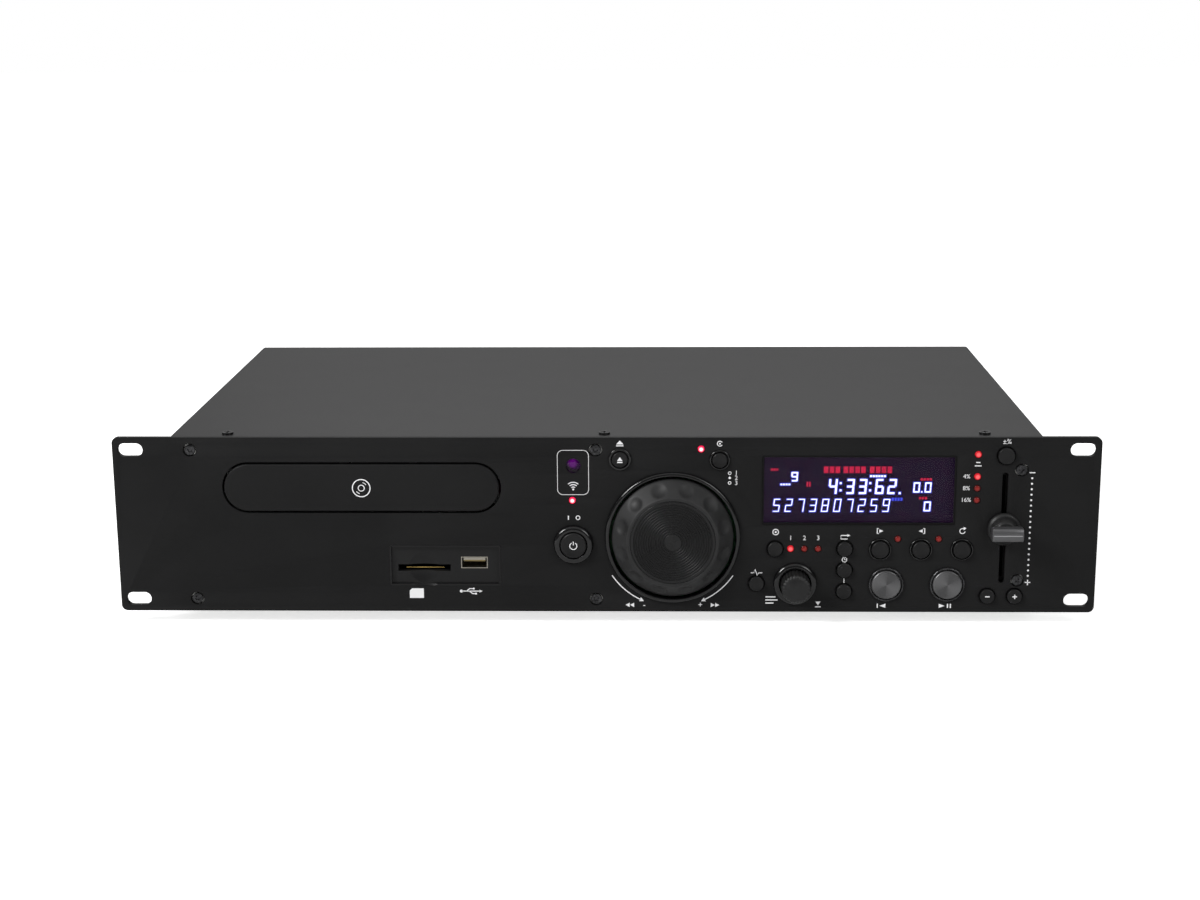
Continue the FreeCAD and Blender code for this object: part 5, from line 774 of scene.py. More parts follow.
@dataclass
class PushButton:
    """A sprung cap with its collar and stem, and sometimes a trim ring round it.

    Attributes:
        name: the button's name in the frame, without its ending.
        finish: the cap's finish.
        ring: the trim ring's outer radius, or 0.
        ring_reach: how far the ring stands out.
        dish: how far the cap's middle is hollowed.
        edge: the rounding of the cap's front edge.
        outer_round: the rounding of the ring's outer edge.
        ring_finish: the ring's finish.
    """

    name: str
    finish: Finish = CAP_BLACK
    ring: float = 0.0
    ring_reach: float = 0.8 * MM
    dish: float = 0.35 * MM
    edge: float = 0.7 * MM
    outer_round: float = 0.6 * MM
    ring_finish: Finish = TRIM
    collar: float = 0.9 * MM
    collar_thick: float = 1.0 * MM
    stem: float = 1.5 * MM
    gap: float = 0.5 * MM
    ring_wall: float = 0.7 * MM

    @property
    def node(self) -> str:
        """The frame's node of this button."""
        return self.name + "_button"

    @property
    def cap_radius(self) -> float:
        """The cap's radius, from the collar's width in the frame."""
        low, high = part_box(self.node)
        return (high.x - low.x) / 2 - self.collar

    @property
    def hole_radius(self) -> float:
        """The panel's hole for the cap or the ring."""
        return self.cap_radius + self.gap + (self.ring_wall if self.ring else 0.0)

    def build(self) -> None:
        """Makes the cap and its ring."""
        x, z = RECORD.spot(self.node)
        cap, reach = self.cap_radius, RECORD.reach(self.node)
        thick = RECORD.back - RECORD.face
        stem_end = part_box(self.node)[1].y - RECORD.face
        front = thick + 0.3 * MM
        profile = [
            (0, -reach + self.dish), (cap * 0.3, -reach + self.dish * 0.92),
            (cap * 0.55, -reach + self.dish * 0.65), (cap * 0.78, -reach + self.dish * 0.2),
            (cap * 0.86, -reach), (cap, -reach, self.edge), (cap, front),
            (cap + self.collar, front), (cap + self.collar, front + self.collar_thick),
            (self.stem, front + self.collar_thick), (self.stem, stem_end), (0, stem_end),
        ]
        shape = turned(profile, 96 if cap > 6 * MM else 64)
        shape.transform(RECORD.at(x, z))
        centre = (x, RECORD.face, RECORD.middle + z)
        material = self.finish.material(centre if self.finish.pattern is Pattern.TURNED_WITH_SHEEN else (0.0, 0.0, 0.0))
        add_piece(self.name + "_cap", shape, material, self.node, smooth=math.radians(50))
        if self.ring:
            add_ring(self.name + "_ring", x, z, cap + self.gap, self.ring, self.ring_reach, self.outer_round,
                     self.ring_finish)


def add_ring(name: str, x: float, z: float, inner: float, outer: float, reach: float, outer_round: float,
             finish: Finish = TRIM, wall: float = 0.7 * MM) -> None:
    """Makes a trim ring that lines a hole in the panel.

    Args:
        name: the ring's name.
        x: its middle, across the panel.
        z: its middle, up the panel.
        inner: the radius of its bore.
        outer: the radius of its rim.
        reach: how far it stands out of the panel.
        outer_round: the rounding of its outer edge.
        finish: its finish.
        wall: the wall of the tube behind the rim.
    """
    thick = RECORD.back - RECORD.face
    shape = turned([
        (inner, -reach, 0.25 * MM), (outer, -reach, outer_round), (outer, 0), (inner + wall, 0),
        (inner + wall, thick), (inner, thick),
    ], 96)
    shape.transform(RECORD.at(x, z))
    add_piece(name, shape, finish.material(), "button_rings", smooth=math.radians(50))


SMALL_RING = 5.6 * MM
BUTTONS = [
    PushButton("power", ring=9.8 * MM, ring_reach=2.4 * MM, dish=0.5 * MM, edge=0.9 * MM,
               outer_round=1.9 * MM),
    PushButton("open_close", ring=SMALL_RING),
    PushButton("jog_mode", ring=5.1 * MM),
    PushButton("source"), PushButton("bpm"), PushButton("repeat"), PushButton("time"), PushButton("single"),
    PushButton("loop_in", ring=SMALL_RING), PushButton("loop_out", ring=SMALL_RING),
    PushButton("reloop", ring=SMALL_RING),
    PushButton("cue", CAP_SMOKE, 8.6 * MM, 1.1 * MM, 0.15 * MM, 0.9 * MM,
               ring_finish=RING_SMOKE),
    PushButton("play_pause", CAP_SMOKE, 8.6 * MM, 1.1 * MM, 0.15 * MM, 0.9 * MM,
               ring_finish=RING_SMOKE),
    PushButton("pitch", dish=0.1 * MM, edge=0.9 * MM),
    PushButton("pitch_bend_minus"), PushButton("pitch_bend_plus"),
]


@dataclass
class JogWheel:
    """The jog wheel with its trim ring, finger dimples and grooved pad."""

    ring_outer: float = 33.3 * MM
    ring_reach: float = 1.8 * MM
    gap: float = 1.2 * MM
    ring_wall: float = 0.3 * MM
    edge_reach: float = 1.0 * MM
    face_radius: float = 22.4 * MM
    wall: float = 1.8 * MM
    skirt: float = 2.0 * MM
    pad_radius: float = 20.8 * MM
    pad_thick: float = 1.2 * MM
    hub: float = 6.0 * MM
    bore: float = 3.05 * MM
    dimples: int = 12
    orbit: float = 25.9 * MM
    sphere: float = 8.6 * MM
    dimple_depth: float = 1.1 * MM
    slope_rows: int = 14
    groove_pitch: float = 1.2 * MM
    groove_depth: float = 0.35 * MM
    flat_centre: float = 4.1 * MM
    steps: int = 240

    def __post_init__(self) -> None:
        """Reads the wheel's place from the frame."""
        low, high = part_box("jog_wheel")
        self.x, self.z = RECORD.spot("jog_wheel")
        self.radius = (high.x - low.x) / 2
        self.face_reach = RECORD.reach("jog_wheel")
        self.hub_end = high.y - RECORD.face

    @property
    def hole_radius(self) -> float:
        """The panel's hole round the wheel's ring."""
        return self.radius + self.gap + self.ring_wall

    def build(self) -> None:
        """Makes the ring, the wheel and the pad."""
        self.build_ring()
        self.build_wheel()
        self.build_pad()

    def build_ring(self) -> None:
        """The glossy ring that lines the panel's hole."""
        inner, thick = self.radius + self.gap, RECORD.back - RECORD.face
        shape = turned([
            (inner, -self.ring_reach, 0.6 * MM), (self.ring_outer, -self.ring_reach, 1.3 * MM),
            (self.ring_outer, 0), (inner + self.ring_wall, 0), (inner + self.ring_wall, thick),
            (inner, thick),
        ], 160)
        shape.transform(RECORD.at(self.x, self.z))
        add_piece("wheel_trim_ring", shape, TRIM.material(), "jog_ring", smooth=math.radians(50))

    def build_wheel(self) -> None:
        """A hollow wheel whose sloping rim has finger dimples pressed into it."""
        seat = -self.face_reach + self.pad_thick
        inside = seat + self.wall
        rise, run = self.face_reach - self.edge_reach, self.radius - self.face_radius
        slope = [
            (self.radius - run * i / self.slope_rows, -self.edge_reach - rise * i / self.slope_rows)
            for i in range(1, self.slope_rows)
        ]
        pocket = self.pad_radius + 0.1 * MM
        shape = turned([
            (self.bore, inside), (self.bore, self.hub_end), (self.hub, self.hub_end), (self.hub, inside),
            (self.face_radius - self.wall, inside), (self.radius - self.wall, self.wall - self.edge_reach),
            (self.radius - self.wall, self.skirt), (self.radius, self.skirt), (self.radius, -self.edge_reach),
            *slope, (self.face_radius, -self.face_reach), (pocket, -self.face_reach), (pocket, seat),
            (0, seat), (0, seat + self.wall / 2), (self.bore, seat + self.wall / 2),
        ], self.steps)
        self.press_dimples(shape, rise / run)
        round_circle(shape, self.face_radius, -self.face_reach, 0.45 * MM)
        round_circle(shape, self.radius, -self.edge_reach, 0.9 * MM)
        round_circle(shape, pocket, -self.face_reach, 0.25 * MM)
        shape.transform(RECORD.at(self.x, self.z))
        add_piece("finger_wheel", shape, WHEEL.material(), "jog_wheel", smooth=math.radians(42))

    def press_dimples(self, shape: bmesh.types.BMesh, slope: float) -> None:
        """Moves the points of the sloping rim onto a ball at each dimple.

        Args:
            shape: the wheel about the Y axis.
            slope: how much the rim rises for its width.
        """
        length = math.hypot(slope, 1)
        stand = self.sphere - self.dimple_depth
        surface = self.edge_reach + (self.radius - self.orbit) * slope
        out = self.orbit + stand * slope / length
        level = -surface - stand / length
        for vert in shape.verts:
            reach = math.hypot(vert.co.x, vert.co.z)
            on_slope = abs(-vert.co.y - self.edge_reach - (self.radius - reach) * slope) < SAME
            if not on_slope or reach > self.radius - 1e-5 or reach < self.face_radius + 1e-5:
                continue
            turn = math.atan2(vert.co.x, vert.co.z)
            step = math.tau / self.dimples
            nearest = (math.floor(turn / step) + 0.5) * step
            ball = Vector((out * math.sin(nearest), level, out * math.cos(nearest)))
            inward = Vector((-math.sin(turn) * slope, 1.0, -math.cos(turn) * slope)).normalized()
            offset = vert.co - ball
            if offset.length < self.sphere:
                along = offset.dot(inward)
                travel = -along + math.sqrt(along * along - offset.length_squared + self.sphere ** 2)
                vert.co += inward * travel

    def build_pad(self) -> None:
        """The pad in the wheel's face, with concentric grooves round a flat middle."""
        front, back = -self.face_reach, -self.face_reach + self.pad_thick
        floor = front + self.groove_depth
        profile: list[tuple] = [(0, front)]
        radius = self.flat_centre
        while radius < self.pad_radius - self.groove_pitch:
            profile += [(radius, front), (radius + self.groove_pitch * 0.25, floor),
                        (radius + self.groove_pitch * 0.5, floor), (radius + self.groove_pitch * 0.75, front)]
            radius += self.groove_pitch
        profile += [(self.pad_radius, front, 0.3 * MM), (self.pad_radius, back), (0, back)]
        shape = turned(profile, 160)
        shape.transform(RECORD.at(self.x, self.z))
        centre = (self.x, RECORD.face, RECORD.middle + self.z)
        add_piece("grooved_pad", shape, PAD.material(centre), "jog_pad", smooth=math.radians(25))


@dataclass
class TrackKnob:
    """The push-and-turn knob with its grip flutes, and the dished ring round it."""

    ring: float = 10.8 * MM
    ring_reach: float = 2.2 * MM
    gap: float = 0.5 * MM
    rim: float = 0.3 * MM
    wall: float = 1.6 * MM
    flutes: int = 24
    flute_depth: float = 0.38 * MM
    crown: float = 2.4 * MM
    bore: float = 3.05 * MM
    side_rows: int = 6

    def __post_init__(self) -> None:
        """Reads the knob's place from the frame."""
        low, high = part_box("track_knob")
        self.x, self.z = RECORD.spot("track_knob")
        self.radius = (high.x - low.x) / 2
        self.reach = RECORD.reach("track_knob")

    @property
    def hole_radius(self) -> float:
        """The panel's hole round the knob's ring."""
        return self.radius + self.gap + 0.7 * MM

    def build(self) -> None:
        """Makes the knob and its ring."""
        rim, inside = self.rim, -self.reach + 2 * self.crown
        shoulder = self.crown * 1.1
        side = [(self.radius, -self.reach + shoulder + (self.reach + rim - shoulder) * i / self.side_rows)
                for i in range(self.side_rows)]
        dome = [(self.radius * math.sin(turn), -self.reach + self.crown * (1 - math.cos(turn)) * 0.9)
                for turn in (math.radians(step) for step in range(12, 90, 13))]
        shape = turned([
            (0, -self.reach), *dome, *side, (self.radius, rim), (self.radius - self.wall, rim),
            (self.radius - self.wall, inside), (self.bore + self.wall, inside), (self.bore + self.wall, rim),
            (self.bore, rim), (self.bore, -self.reach + self.crown), (0, -self.reach + self.crown),
        ], self.flutes * 8)
        for vert in shape.verts:
            radius = math.hypot(vert.co.x, vert.co.z)
            if radius < self.radius * 0.6 or radius < self.radius - self.wall / 2 and vert.co.y > inside:
                continue
            swing = 0.5 + 0.5 * math.cos(self.flutes * math.atan2(vert.co.x, vert.co.z))
            share = min(1.0, (radius / self.radius - 0.6) / 0.35)
            scale = 1 - self.flute_depth * share * swing ** 3 / self.radius
            vert.co.x *= scale
            vert.co.z *= scale
        shape.transform(RECORD.at(self.x, self.z))
        add_piece("fluted_knob", shape, KNOB.material(), "track_knob", smooth=math.radians(48))
        add_ring("knob_ring", self.x, self.z, self.radius + self.gap, self.ring, self.ring_reach, 1.9 * MM)


@dataclass
class PitchSlider:
    """The slider's knob: a round skirt and neck, and a ridged metal bar with a pale line."""

    skirt: float = 8.0 * MM
    skirt_gap: float = 1.0 * MM
    skirt_thick: float = 2.0 * MM
    neck: float = 6.6 * MM
    neck_reach: float = 8.5 * MM
    bar_width: float = 15.1 * MM
    bar_tall: float = 6.6 * MM
    ridge: float = 1.5 * MM
    line: float = 0.35 * MM

    def __post_init__(self) -> None:
        """Reads the slider's place from the frame."""
        self.x, self.z = RECORD.spot("pitch_knob")
        self.reach = RECORD.reach("pitch_knob")

    def build(self) -> None:
        """Makes the base, the bar and the line on it."""
        back = -self.skirt_gap
        shoulder = back - self.skirt_thick
        shape = turned([
            (0, -self.neck_reach), (self.neck * 0.72, -self.neck_reach, 0.4 * MM),
            (self.neck * 0.93, -self.neck_reach + 2 * MM),
            (self.neck, shoulder - 1.4 * MM), (self.neck + 0.35 * MM, shoulder - 0.3 * MM),
            (self.skirt - 0.5 * MM, shoulder), (self.skirt, shoulder + 0.5 * MM), (self.skirt, back),
            (0, back),
        ], 96)
        shape.transform(RECORD.at(self.x, self.z))
        add_piece("slider_base", shape, KNOB.material(), "pitch_knob", smooth=math.radians(50))
        depth = self.reach - self.neck_reach
        half = self.bar_tall / 2
        crown = [(-half * math.cos(turn), depth - self.ridge * (1 - math.sin(turn)))
                 for turn in (math.radians(15 * step) for step in range(13))]
        bar = plate([[(-half, 0.0), *crown, (half, 0.0)]], self.bar_width, 0.5 * MM, 2)
        lie = Matrix(((0, 0, 1, 0), (0, -1, 0, 0), (1, 0, 0, 0), (0, 0, 0, 1)))
        place = (self.x + self.bar_width / 2, RECORD.face - self.neck_reach, RECORD.middle + self.z)
        bar.transform(Matrix.Translation(place) @ lie)
        add_piece("slider_bar", bar, SLIDER_GREY.material(), "pitch_knob", smooth=math.radians(30))
        outline = rounded(0, 0, self.bar_width - 1.2 * MM, self.line, self.line / 2 - 0.01 * MM, 3)
        line = plate([outline], 0.3 * MM)
        line.transform(RECORD.on_panel(self.x, self.z, self.reach + 0.02 * MM))
        add_piece("slider_line", line, INDEX.material(), "pitch_knob", replaces=False)


class LampState(Enum):
    """How a lamp shows."""

    BRIGHT = "bright"
    SOFT = "soft"
    DARK = "dark"


@dataclass
class Lamp:
    """A round lamp that comes through the panel."""

    name: str
    x: float
    z: float
    state: LampState = LampState.DARK
    radius: float = 1.5 * MM
    reach: float = 0.5 * MM

    def build(self) -> None:
        """Makes the lamp's domed lens and its body down to the board."""
        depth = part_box("lamps")[1].y - RECORD.face
        dome = [(self.radius * math.sin(turn), -self.reach * math.cos(turn))
                for turn in (math.radians(step) for step in (0, 18, 36, 54, 72, 90))]
        shape = turned([*dome, (self.radius, depth), (0, depth)], 40)
        shape.transform(RECORD.at(self.x, self.z))
        centre = (self.x, RECORD.face, RECORD.middle + self.z)
        # A dark lamp still gets a faint painted glow.
        glow = {LampState.BRIGHT: LAMP_LIT, LampState.SOFT: LAMP_SOFT, LampState.DARK: LAMP_OFF_PAINTED_GLOW}[self.state]
        add_piece("lamp_" + self.name, shape, glow.material(centre), "lamps", smooth=math.radians(60))


def panel_lamps() -> list[Lamp]:
    """All eleven lamps in their places."""
    bright, soft = LampState.BRIGHT, LampState.SOFT
    lamps = [Lamp("jog_mode", 47.4 * MM, 38.5 * MM, bright), Lamp("power", -15.6 * MM, 12.6 * MM, bright)]
    lamps += [Lamp(f"source_{i + 1}", (91.6 + 6.75 * i) * MM, -11.9 * MM, soft if i == 0 else LampState.DARK)
              for i in range(3)]
    lamps += [Lamp(f"loop_{i + 1}", (144.1 + 20 * i) * MM, -6.8 * MM) for i in range(2)]
    lamps.append(Lamp("hold", 181.9 * MM, 35.8 * MM, soft))
    lamps += [Lamp(f"range_{i + 1}", 181.9 * MM, (24.7 - 5.9 * i) * MM, soft if i == 0 else LampState.DARK)
              for i in range(3)]
    return lamps


# Display


SEGMENTS = {
    "0": "abcdef", "1": "bc", "2": "abged", "3": "abgcd", "4": "fgbc", "5": "afgcd", "6": "afgedc",
    "7": "abc", "8": "abcdefg", "9": "abcfgd",
}


def digit(char: str, x: float, z: float, wide: float, tall: float, stroke: float,
          lean: float) -> list[Outline]:
    """The lit segments of a number.

    Args:
        char: the number.
        x: its left edge.
        z: its foot.
        wide: its width.
        tall: its height.
        stroke: the width of its segments.
        lean: how far its top is moved sideways.

    Returns:
        An outline for each lit segment.
    """
    cut = stroke * 0.12
    half = tall / 2
    across = [(stroke * 0.5 + cut, 0), (wide - stroke * 0.5 - cut, 0)]
    ends = {
        "a": [(px, tall - stroke / 2) for px, _ in across], "g": [(px, half) for px, _ in across],
        "d": [(px, stroke / 2) for px, _ in across],
        "f": [(stroke / 2, half + cut), (stroke / 2, tall - cut)],
        "e": [(stroke / 2, cut), (stroke / 2, half - cut)],
        "b": [(wide - stroke / 2, half + cut), (wide - stroke / 2, tall - cut)],
        "c": [(wide - stroke / 2, cut), (wide - stroke / 2, half - cut)],
    }
    shapes = []
    for name in SEGMENTS[char]:
        outline = band(ends[name], stroke)
        shapes.append([(x + px + lean * pz / tall, z + pz) for px, pz in outline])
    return shapes


@dataclass
class Display:
    """A smoked window with a lit display behind it. It shows plain numbers and bars."""

    glass_sunk: float = 0.8 * MM
    glass_thick: float = 1.6 * MM
    ground_depth: float = 4.4 * MM
    corner: float = 1.0 * MM
    halo: float = 0.75 * MM
    parts: dict[str, list[Outline]] = field(default_factory=lambda: {"core": [], "red": [], "blue": []})

    def __post_init__(self) -> None:
        """Reads the window's place from the frame."""
        low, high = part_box("display_tube")
        self.x, self.z = RECORD.spot("display_tube")
        self.wide, self.tall = high.x - low.x, high.z - low.z

    def text(self, numbers: str, x: float, z: float, wide: float, tall: float, pitch: float, stroke: float,
             lean: float = 0.0) -> None:
        """Adds a row of numbers; a colon and a point take a narrow place."""
        for char in numbers:
            if char == ":":
                self.parts["core"] += [box(x + wide * 0.02, z + tall * share, stroke, stroke)
                                       for share in (0.25, 0.72)]
                x += pitch * 0.38
            elif char == ".":
                self.parts["core"].append(box(x + stroke * 0.1, z + stroke / 2, stroke, stroke))
                x += pitch * 0.32
            else:
                self.parts["core"] += digit(char, x, z, wide, tall, stroke, lean)
                x += pitch

    def fill(self) -> None:
        """Sets out what the display shows."""
        self.text("9", 91.6 * MM, 21.3 * MM, 3.3 * MM, 4.8 * MM, 4 * MM, 0.75 * MM, 0.3 * MM)
        self.text("4:33:62.", 109.8 * MM, 14.9 * MM, 4.2 * MM, 7.7 * MM, 6.05 * MM, 1.0 * MM, 0.6 * MM)
        self.text("0.0", 151.2 * MM, 15.7 * MM, 3.2 * MM, 5.2 * MM, 4.2 * MM, 0.7 * MM, 0.3 * MM)
        self.text("0", 156.5 * MM, 6.2 * MM, 3.4 * MM, 5.0 * MM, 4.2 * MM, 0.7 * MM, 0.3 * MM)
        self.text("5273807259", 82.7 * MM, 5.9 * MM, 3.3 * MM, 6.6 * MM, 5.94 * MM, 0.5 * MM, 0.9 * MM)
        for group, count in ((107.4, 3), (117.0, 4), (129.8, 4)):
            self.parts["red"] += [box((group + 1.3 + 2.85 * i) * MM, 27.2 * MM, 2.2 * MM, 3.3 * MM)
                                  for i in range(count)]
        self.parts["red"] += [box((99.7 + 1.2 * i) * MM, 19.9 * MM, 0.75 * MM, 2.5 * MM) for i in range(2)]
        self.parts["red"] += [box((82.3 + 1.3 * i) * MM, 27.3 * MM, 1.0 * MM, 1.1 * MM) for i in range(3)]
        self.parts["red"] += [box((155.3 + 1.45 * i) * MM, 22.4 * MM, 1.1 * MM, 1.2 * MM) for i in range(4)]
        self.parts["red"] += [box((154.8 + 1.4 * i) * MM, 12.9 * MM, 1.05 * MM, 1.2 * MM) for i in range(3)]
        self.parts["blue"] += [box((141.5 + 1.4 * i) * MM, 12.3 * MM, 1.05 * MM, 1.6 * MM) for i in range(4)]
        self.parts["core"] += [box((130.6 + 1.35 * i) * MM, 24.0 * MM, 1.0 * MM, 1.0 * MM) for i in range(6)]
        self.parts["core"] += [box((87.0 + 1.3 * i) * MM, 19.8 * MM, 0.95 * MM, 0.9 * MM) for i in range(4)]

    def build(self) -> None:
        """Makes the window, the ground behind it, what it shows and a dark lip of painted shade inside the
        window's edge.
        """
        self.fill()
        pane = plate([rounded(self.x, self.z, self.wide - 0.1 * MM, self.tall - 0.1 * MM, self.corner)],
                     self.glass_thick, 0.15 * MM)
        pane.transform(RECORD.on_panel(out=-self.glass_sunk))
        add_piece("window_pane", pane, WINDOW.material(), "display_window")
        # Painted shade: a black frame 1 mm wide, 0.4 to 0.8 mm behind the face, gives the dark line along the
        # window's recessed edge.
        shade_lip = plate([rounded(self.x, self.z, self.wide - 0.02 * MM, self.tall - 0.02 * MM, self.corner),
                     rounded(self.x, self.z, self.wide - 2.0 * MM, self.tall - 2.0 * MM, 0.6 * MM)],
                    0.4 * MM, 0.1 * MM)
        shade_lip.transform(RECORD.on_panel(out=-self.glass_sunk + 0.4 * MM))
        add_piece("window_shade_lip", shade_lip, SLOT_BLACK.material(), "display_window", replaces=False)
        ground = plate([rounded(self.x, self.z, self.wide - 0.4 * MM, self.tall - 0.4 * MM, 0.5 * MM)],
                       5 * MM, 0.2 * MM)
        ground.transform(RECORD.on_panel(out=-self.ground_depth))
        add_piece("display_ground", ground, TUBE.material(), "display_tube")
        halo = [self.grow(outline) for outline in self.parts["core"]]
        layers = (("digit_halo", halo, DIGIT_RIM, 0.03), ("digits", self.parts["core"], DIGIT_CORE, 0.06),
                  ("red_marks", self.parts["red"], RED_BLOCK, 0.05),
                  ("blue_marks", self.parts["blue"], BLUE_BLOCK, 0.05))
        for name, outlines, glow, lift in layers:
            shape = bmesh.new()
            for outline in outlines:
                join_shapes(shape, plate([outline], 0.02 * MM))
            shape.transform(RECORD.on_panel(out=-self.ground_depth + lift * MM))
            add_piece(name, shape, glow.material(), "display_tube", replaces=False)

    def grow(self, outline: Outline) -> Outline:
        """Widens a four-cornered outline by the halo's width."""
        count = len(outline)
        middle = Vector((sum(p[0] for p in outline) / count, sum(p[1] for p in outline) / count))
        grown = []
        for point in outline:
            off = Vector(point) - middle
            reach = off + Vector((math.copysign(self.halo / 2, off.x), math.copysign(self.halo / 2, off.y)))
            grown.append((middle.x + reach.x, middle.y + reach.y))
        return grown


@dataclass
class SensorWindow:
    """The remote sensor's dark filter and the receiver behind it, which has a painted glint: it glows though
    it is no lamp.
    """

    sunk: float = 0.3 * MM

    def build(self) -> None:
        """Makes the domed filter and the receiver."""
        low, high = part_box("sensor_window")
        x, z = RECORD.spot("sensor_window")
        radius = (high.x - low.x) / 2 - 0.9 * MM
        thick = RECORD.back - RECORD.face
        lens = turned([
            (0, self.sunk), (radius * 0.5, self.sunk + 0.05 * MM), (radius * 0.85, self.sunk + 0.22 * MM),
            (radius, self.sunk + 0.45 * MM), (radius, thick), (radius + 0.9 * MM, thick),
            (radius + 0.9 * MM, thick + 1 * MM), (0, thick + 1 * MM),
        ], 64)
        lens.transform(RECORD.at(x, z))
        add_piece("sensor_lens", lens, SENSOR.material(), "sensor_window", smooth=math.radians(50))
        receiver = turned([
            (0, thick + 1.4 * MM), (radius * 0.55, thick + 1.9 * MM), (radius * 0.8, thick + 3.2 * MM),
            (radius, high.y - RECORD.face), (0, high.y - RECORD.face),
        ], 48)
        receiver.transform(RECORD.at(x, z))
        # Painted glint: a purple glow centred a little left of and above the receiver's middle, in place of
        # the light it reflects.
        painted_glint = Glow("receiver", (0.30, 0.05, 0.36), (0.04, 0.01, 0.06), 0.9, 2.6 * MM, (0.1, 0.02, 0.12))
        centre = (x - 0.4 * MM, RECORD.face, RECORD.middle + z + 0.3 * MM)
        add_piece("sensor_receiver", receiver, painted_glint.material(centre), "sensor_window", replaces=False)


# Panel and its marks


@dataclass
class FrontPanel:
    """The steel front plate with all its openings, and its countersunk screws."""

    buttons: list[PushButton]
    wheel: JogWheel
    knob: TrackKnob
    lamps: list[Lamp]
    corner: float = 3.0 * MM
    edge: float = 0.25 * MM
    rack_wide: float = 465.1 * MM
    rack_tall: float = 76.2 * MM
    rack_slot: tuple[float, float] = (12.4 * MM, 6.6 * MM)
    fader_slot: tuple[float, float] = (2.8 * MM, 56.0 * MM)
    fader_z: float = -1.25 * MM
    door_gap: float = 1.0 * MM
    screw_x: float = 203.2 * MM
    screw_mid_x: float = -4.1 * MM
    screw_z: float = 38.0 * MM
    screw_low_z: float = 28.0 * MM
    head: float = 2.75 * MM
    hole: float = 3.25 * MM
    sunk: float = 0.4 * MM
    head_deep: float = 1.6 * MM
    shank: float = 1.5 * MM
    recess_long: float = 3.9 * MM
    recess_wide: float = 1.0 * MM
    first_turn: int = 17
    next_turn: int = 41

    def screw_places(self) -> list[Point]:
        """Where the countersunk screws are."""
        places = [(x, side * self.screw_z) for x in (-self.screw_x, self.screw_mid_x) for side in (1, -1)]
        return places + [(self.screw_x, side * self.screw_low_z) for side in (1, -1)]

    def openings(self) -> list[Outline]:
        """The outlines of all the openings."""
        wide, tall = self.rack_slot
        holes = [rounded(x, z, wide, tall, tall / 2 - 0.01 * MM)
                 for x in (-self.rack_wide / 2, self.rack_wide / 2)
                 for z in (-self.rack_tall / 2, self.rack_tall / 2)]
        holes += [circle(*RECORD.spot(button.node), button.hole_radius) for button in self.buttons]
        holes += [circle(lamp.x, lamp.z, lamp.radius + 0.25 * MM, 32) for lamp in self.lamps]
        holes += [circle(x, z, self.hole, 40) for x, z in self.screw_places()]
        holes.append(circle(self.wheel.x, self.wheel.z, self.wheel.hole_radius, 120))
        holes.append(circle(self.knob.x, self.knob.z, self.knob.hole_radius))
        low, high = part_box("sensor_window")
        holes.append(circle(*RECORD.spot("sensor_window"), (high.x - low.x) / 2 - 0.9 * MM + 0.02 * MM))
        low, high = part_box("tray_door")
        height = high.z - low.z + 2 * self.door_gap
        holes.append(rounded(*RECORD.spot("tray_door"), high.x - low.x + 2 * self.door_gap, height,
                             height / 2 - 0.01 * MM, 24))
        low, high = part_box("display_tube")
        holes.append(rounded(*RECORD.spot("display_tube"), high.x - low.x, high.z - low.z, 1.0 * MM))
        low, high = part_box("media_bay")
        flange = 4 * MM
        holes.append(rounded(*RECORD.spot("media_bay"), high.x - low.x - flange, high.z - low.z - flange,
                             1.5 * MM))
        x, _ = RECORD.spot("pitch_knob")
        wide, tall = self.fader_slot
        holes.append(rounded(x, self.fader_z, wide, tall, wide / 2 - 0.01 * MM))
        return holes

    def build(self) -> None:
        """Makes the plate and the screws."""
        thick = RECORD.back - RECORD.face
        outer = rounded(0, 0, 2 * RECORD.half_width, 2 * RECORD.half_height, self.corner)
        shape = plate([outer, *self.openings()], thick, self.edge)
        shape.transform(RECORD.on_panel())
        add_piece("panel_plate", shape, PANEL_PAINT.material(), "front_panel", smooth=math.radians(30))
        for i, (x, z) in enumerate(self.screw_places()):
            self.build_screw(i, x, z)

    def build_screw(self, number: int, x: float, z: float) -> None:
        """Makes one countersunk screw with a crossed recess, turned by its own angle."""
        head = turned([
            (0, self.sunk), (self.head * 0.75, self.sunk + 0.04 * MM),
            (self.head * 0.93, self.sunk + 0.14 * MM),
            (self.head, self.sunk + 0.4 * MM), (self.shank, self.head_deep),
            (self.shank, 7 * MM), (0, 7 * MM),
        ], 48)
        low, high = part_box("front_panel_screws")
        length = high.y - low.y
        for vert in head.verts:
            if vert.co.y > 5 * MM:
                vert.co.y = length
        cutter = bmesh.new()
        for angle in (0, 90):
            arm = bmesh.new()
            bmesh.ops.create_cube(arm, size=1.0)
            bmesh.ops.scale(arm, vec=(self.recess_long, 2.2 * MM, self.recess_wide), verts=arm.verts)
            for vert in arm.verts:
                if vert.co.y > 0:
                    vert.co.x *= 0.45
            bmesh.ops.rotate(arm, cent=(0, 0, 0), matrix=Matrix.Rotation(math.radians(angle), 3, "Y"),
                             verts=arm.verts)
            join_shapes(cutter, arm)
        shape = carve(head, cutter)
        turn = math.radians(self.first_turn + self.next_turn * number)
        bmesh.ops.rotate(shape, cent=(0, 0, 0), matrix=Matrix.Rotation(turn, 3, "Y"), verts=shape.verts)
        shape.transform(RECORD.at(x, z))
        add_piece(f"panel_screw_{number + 1}", shape, SCREW_BLACK.material(), "front_panel_screws",
                  smooth=math.radians(30))


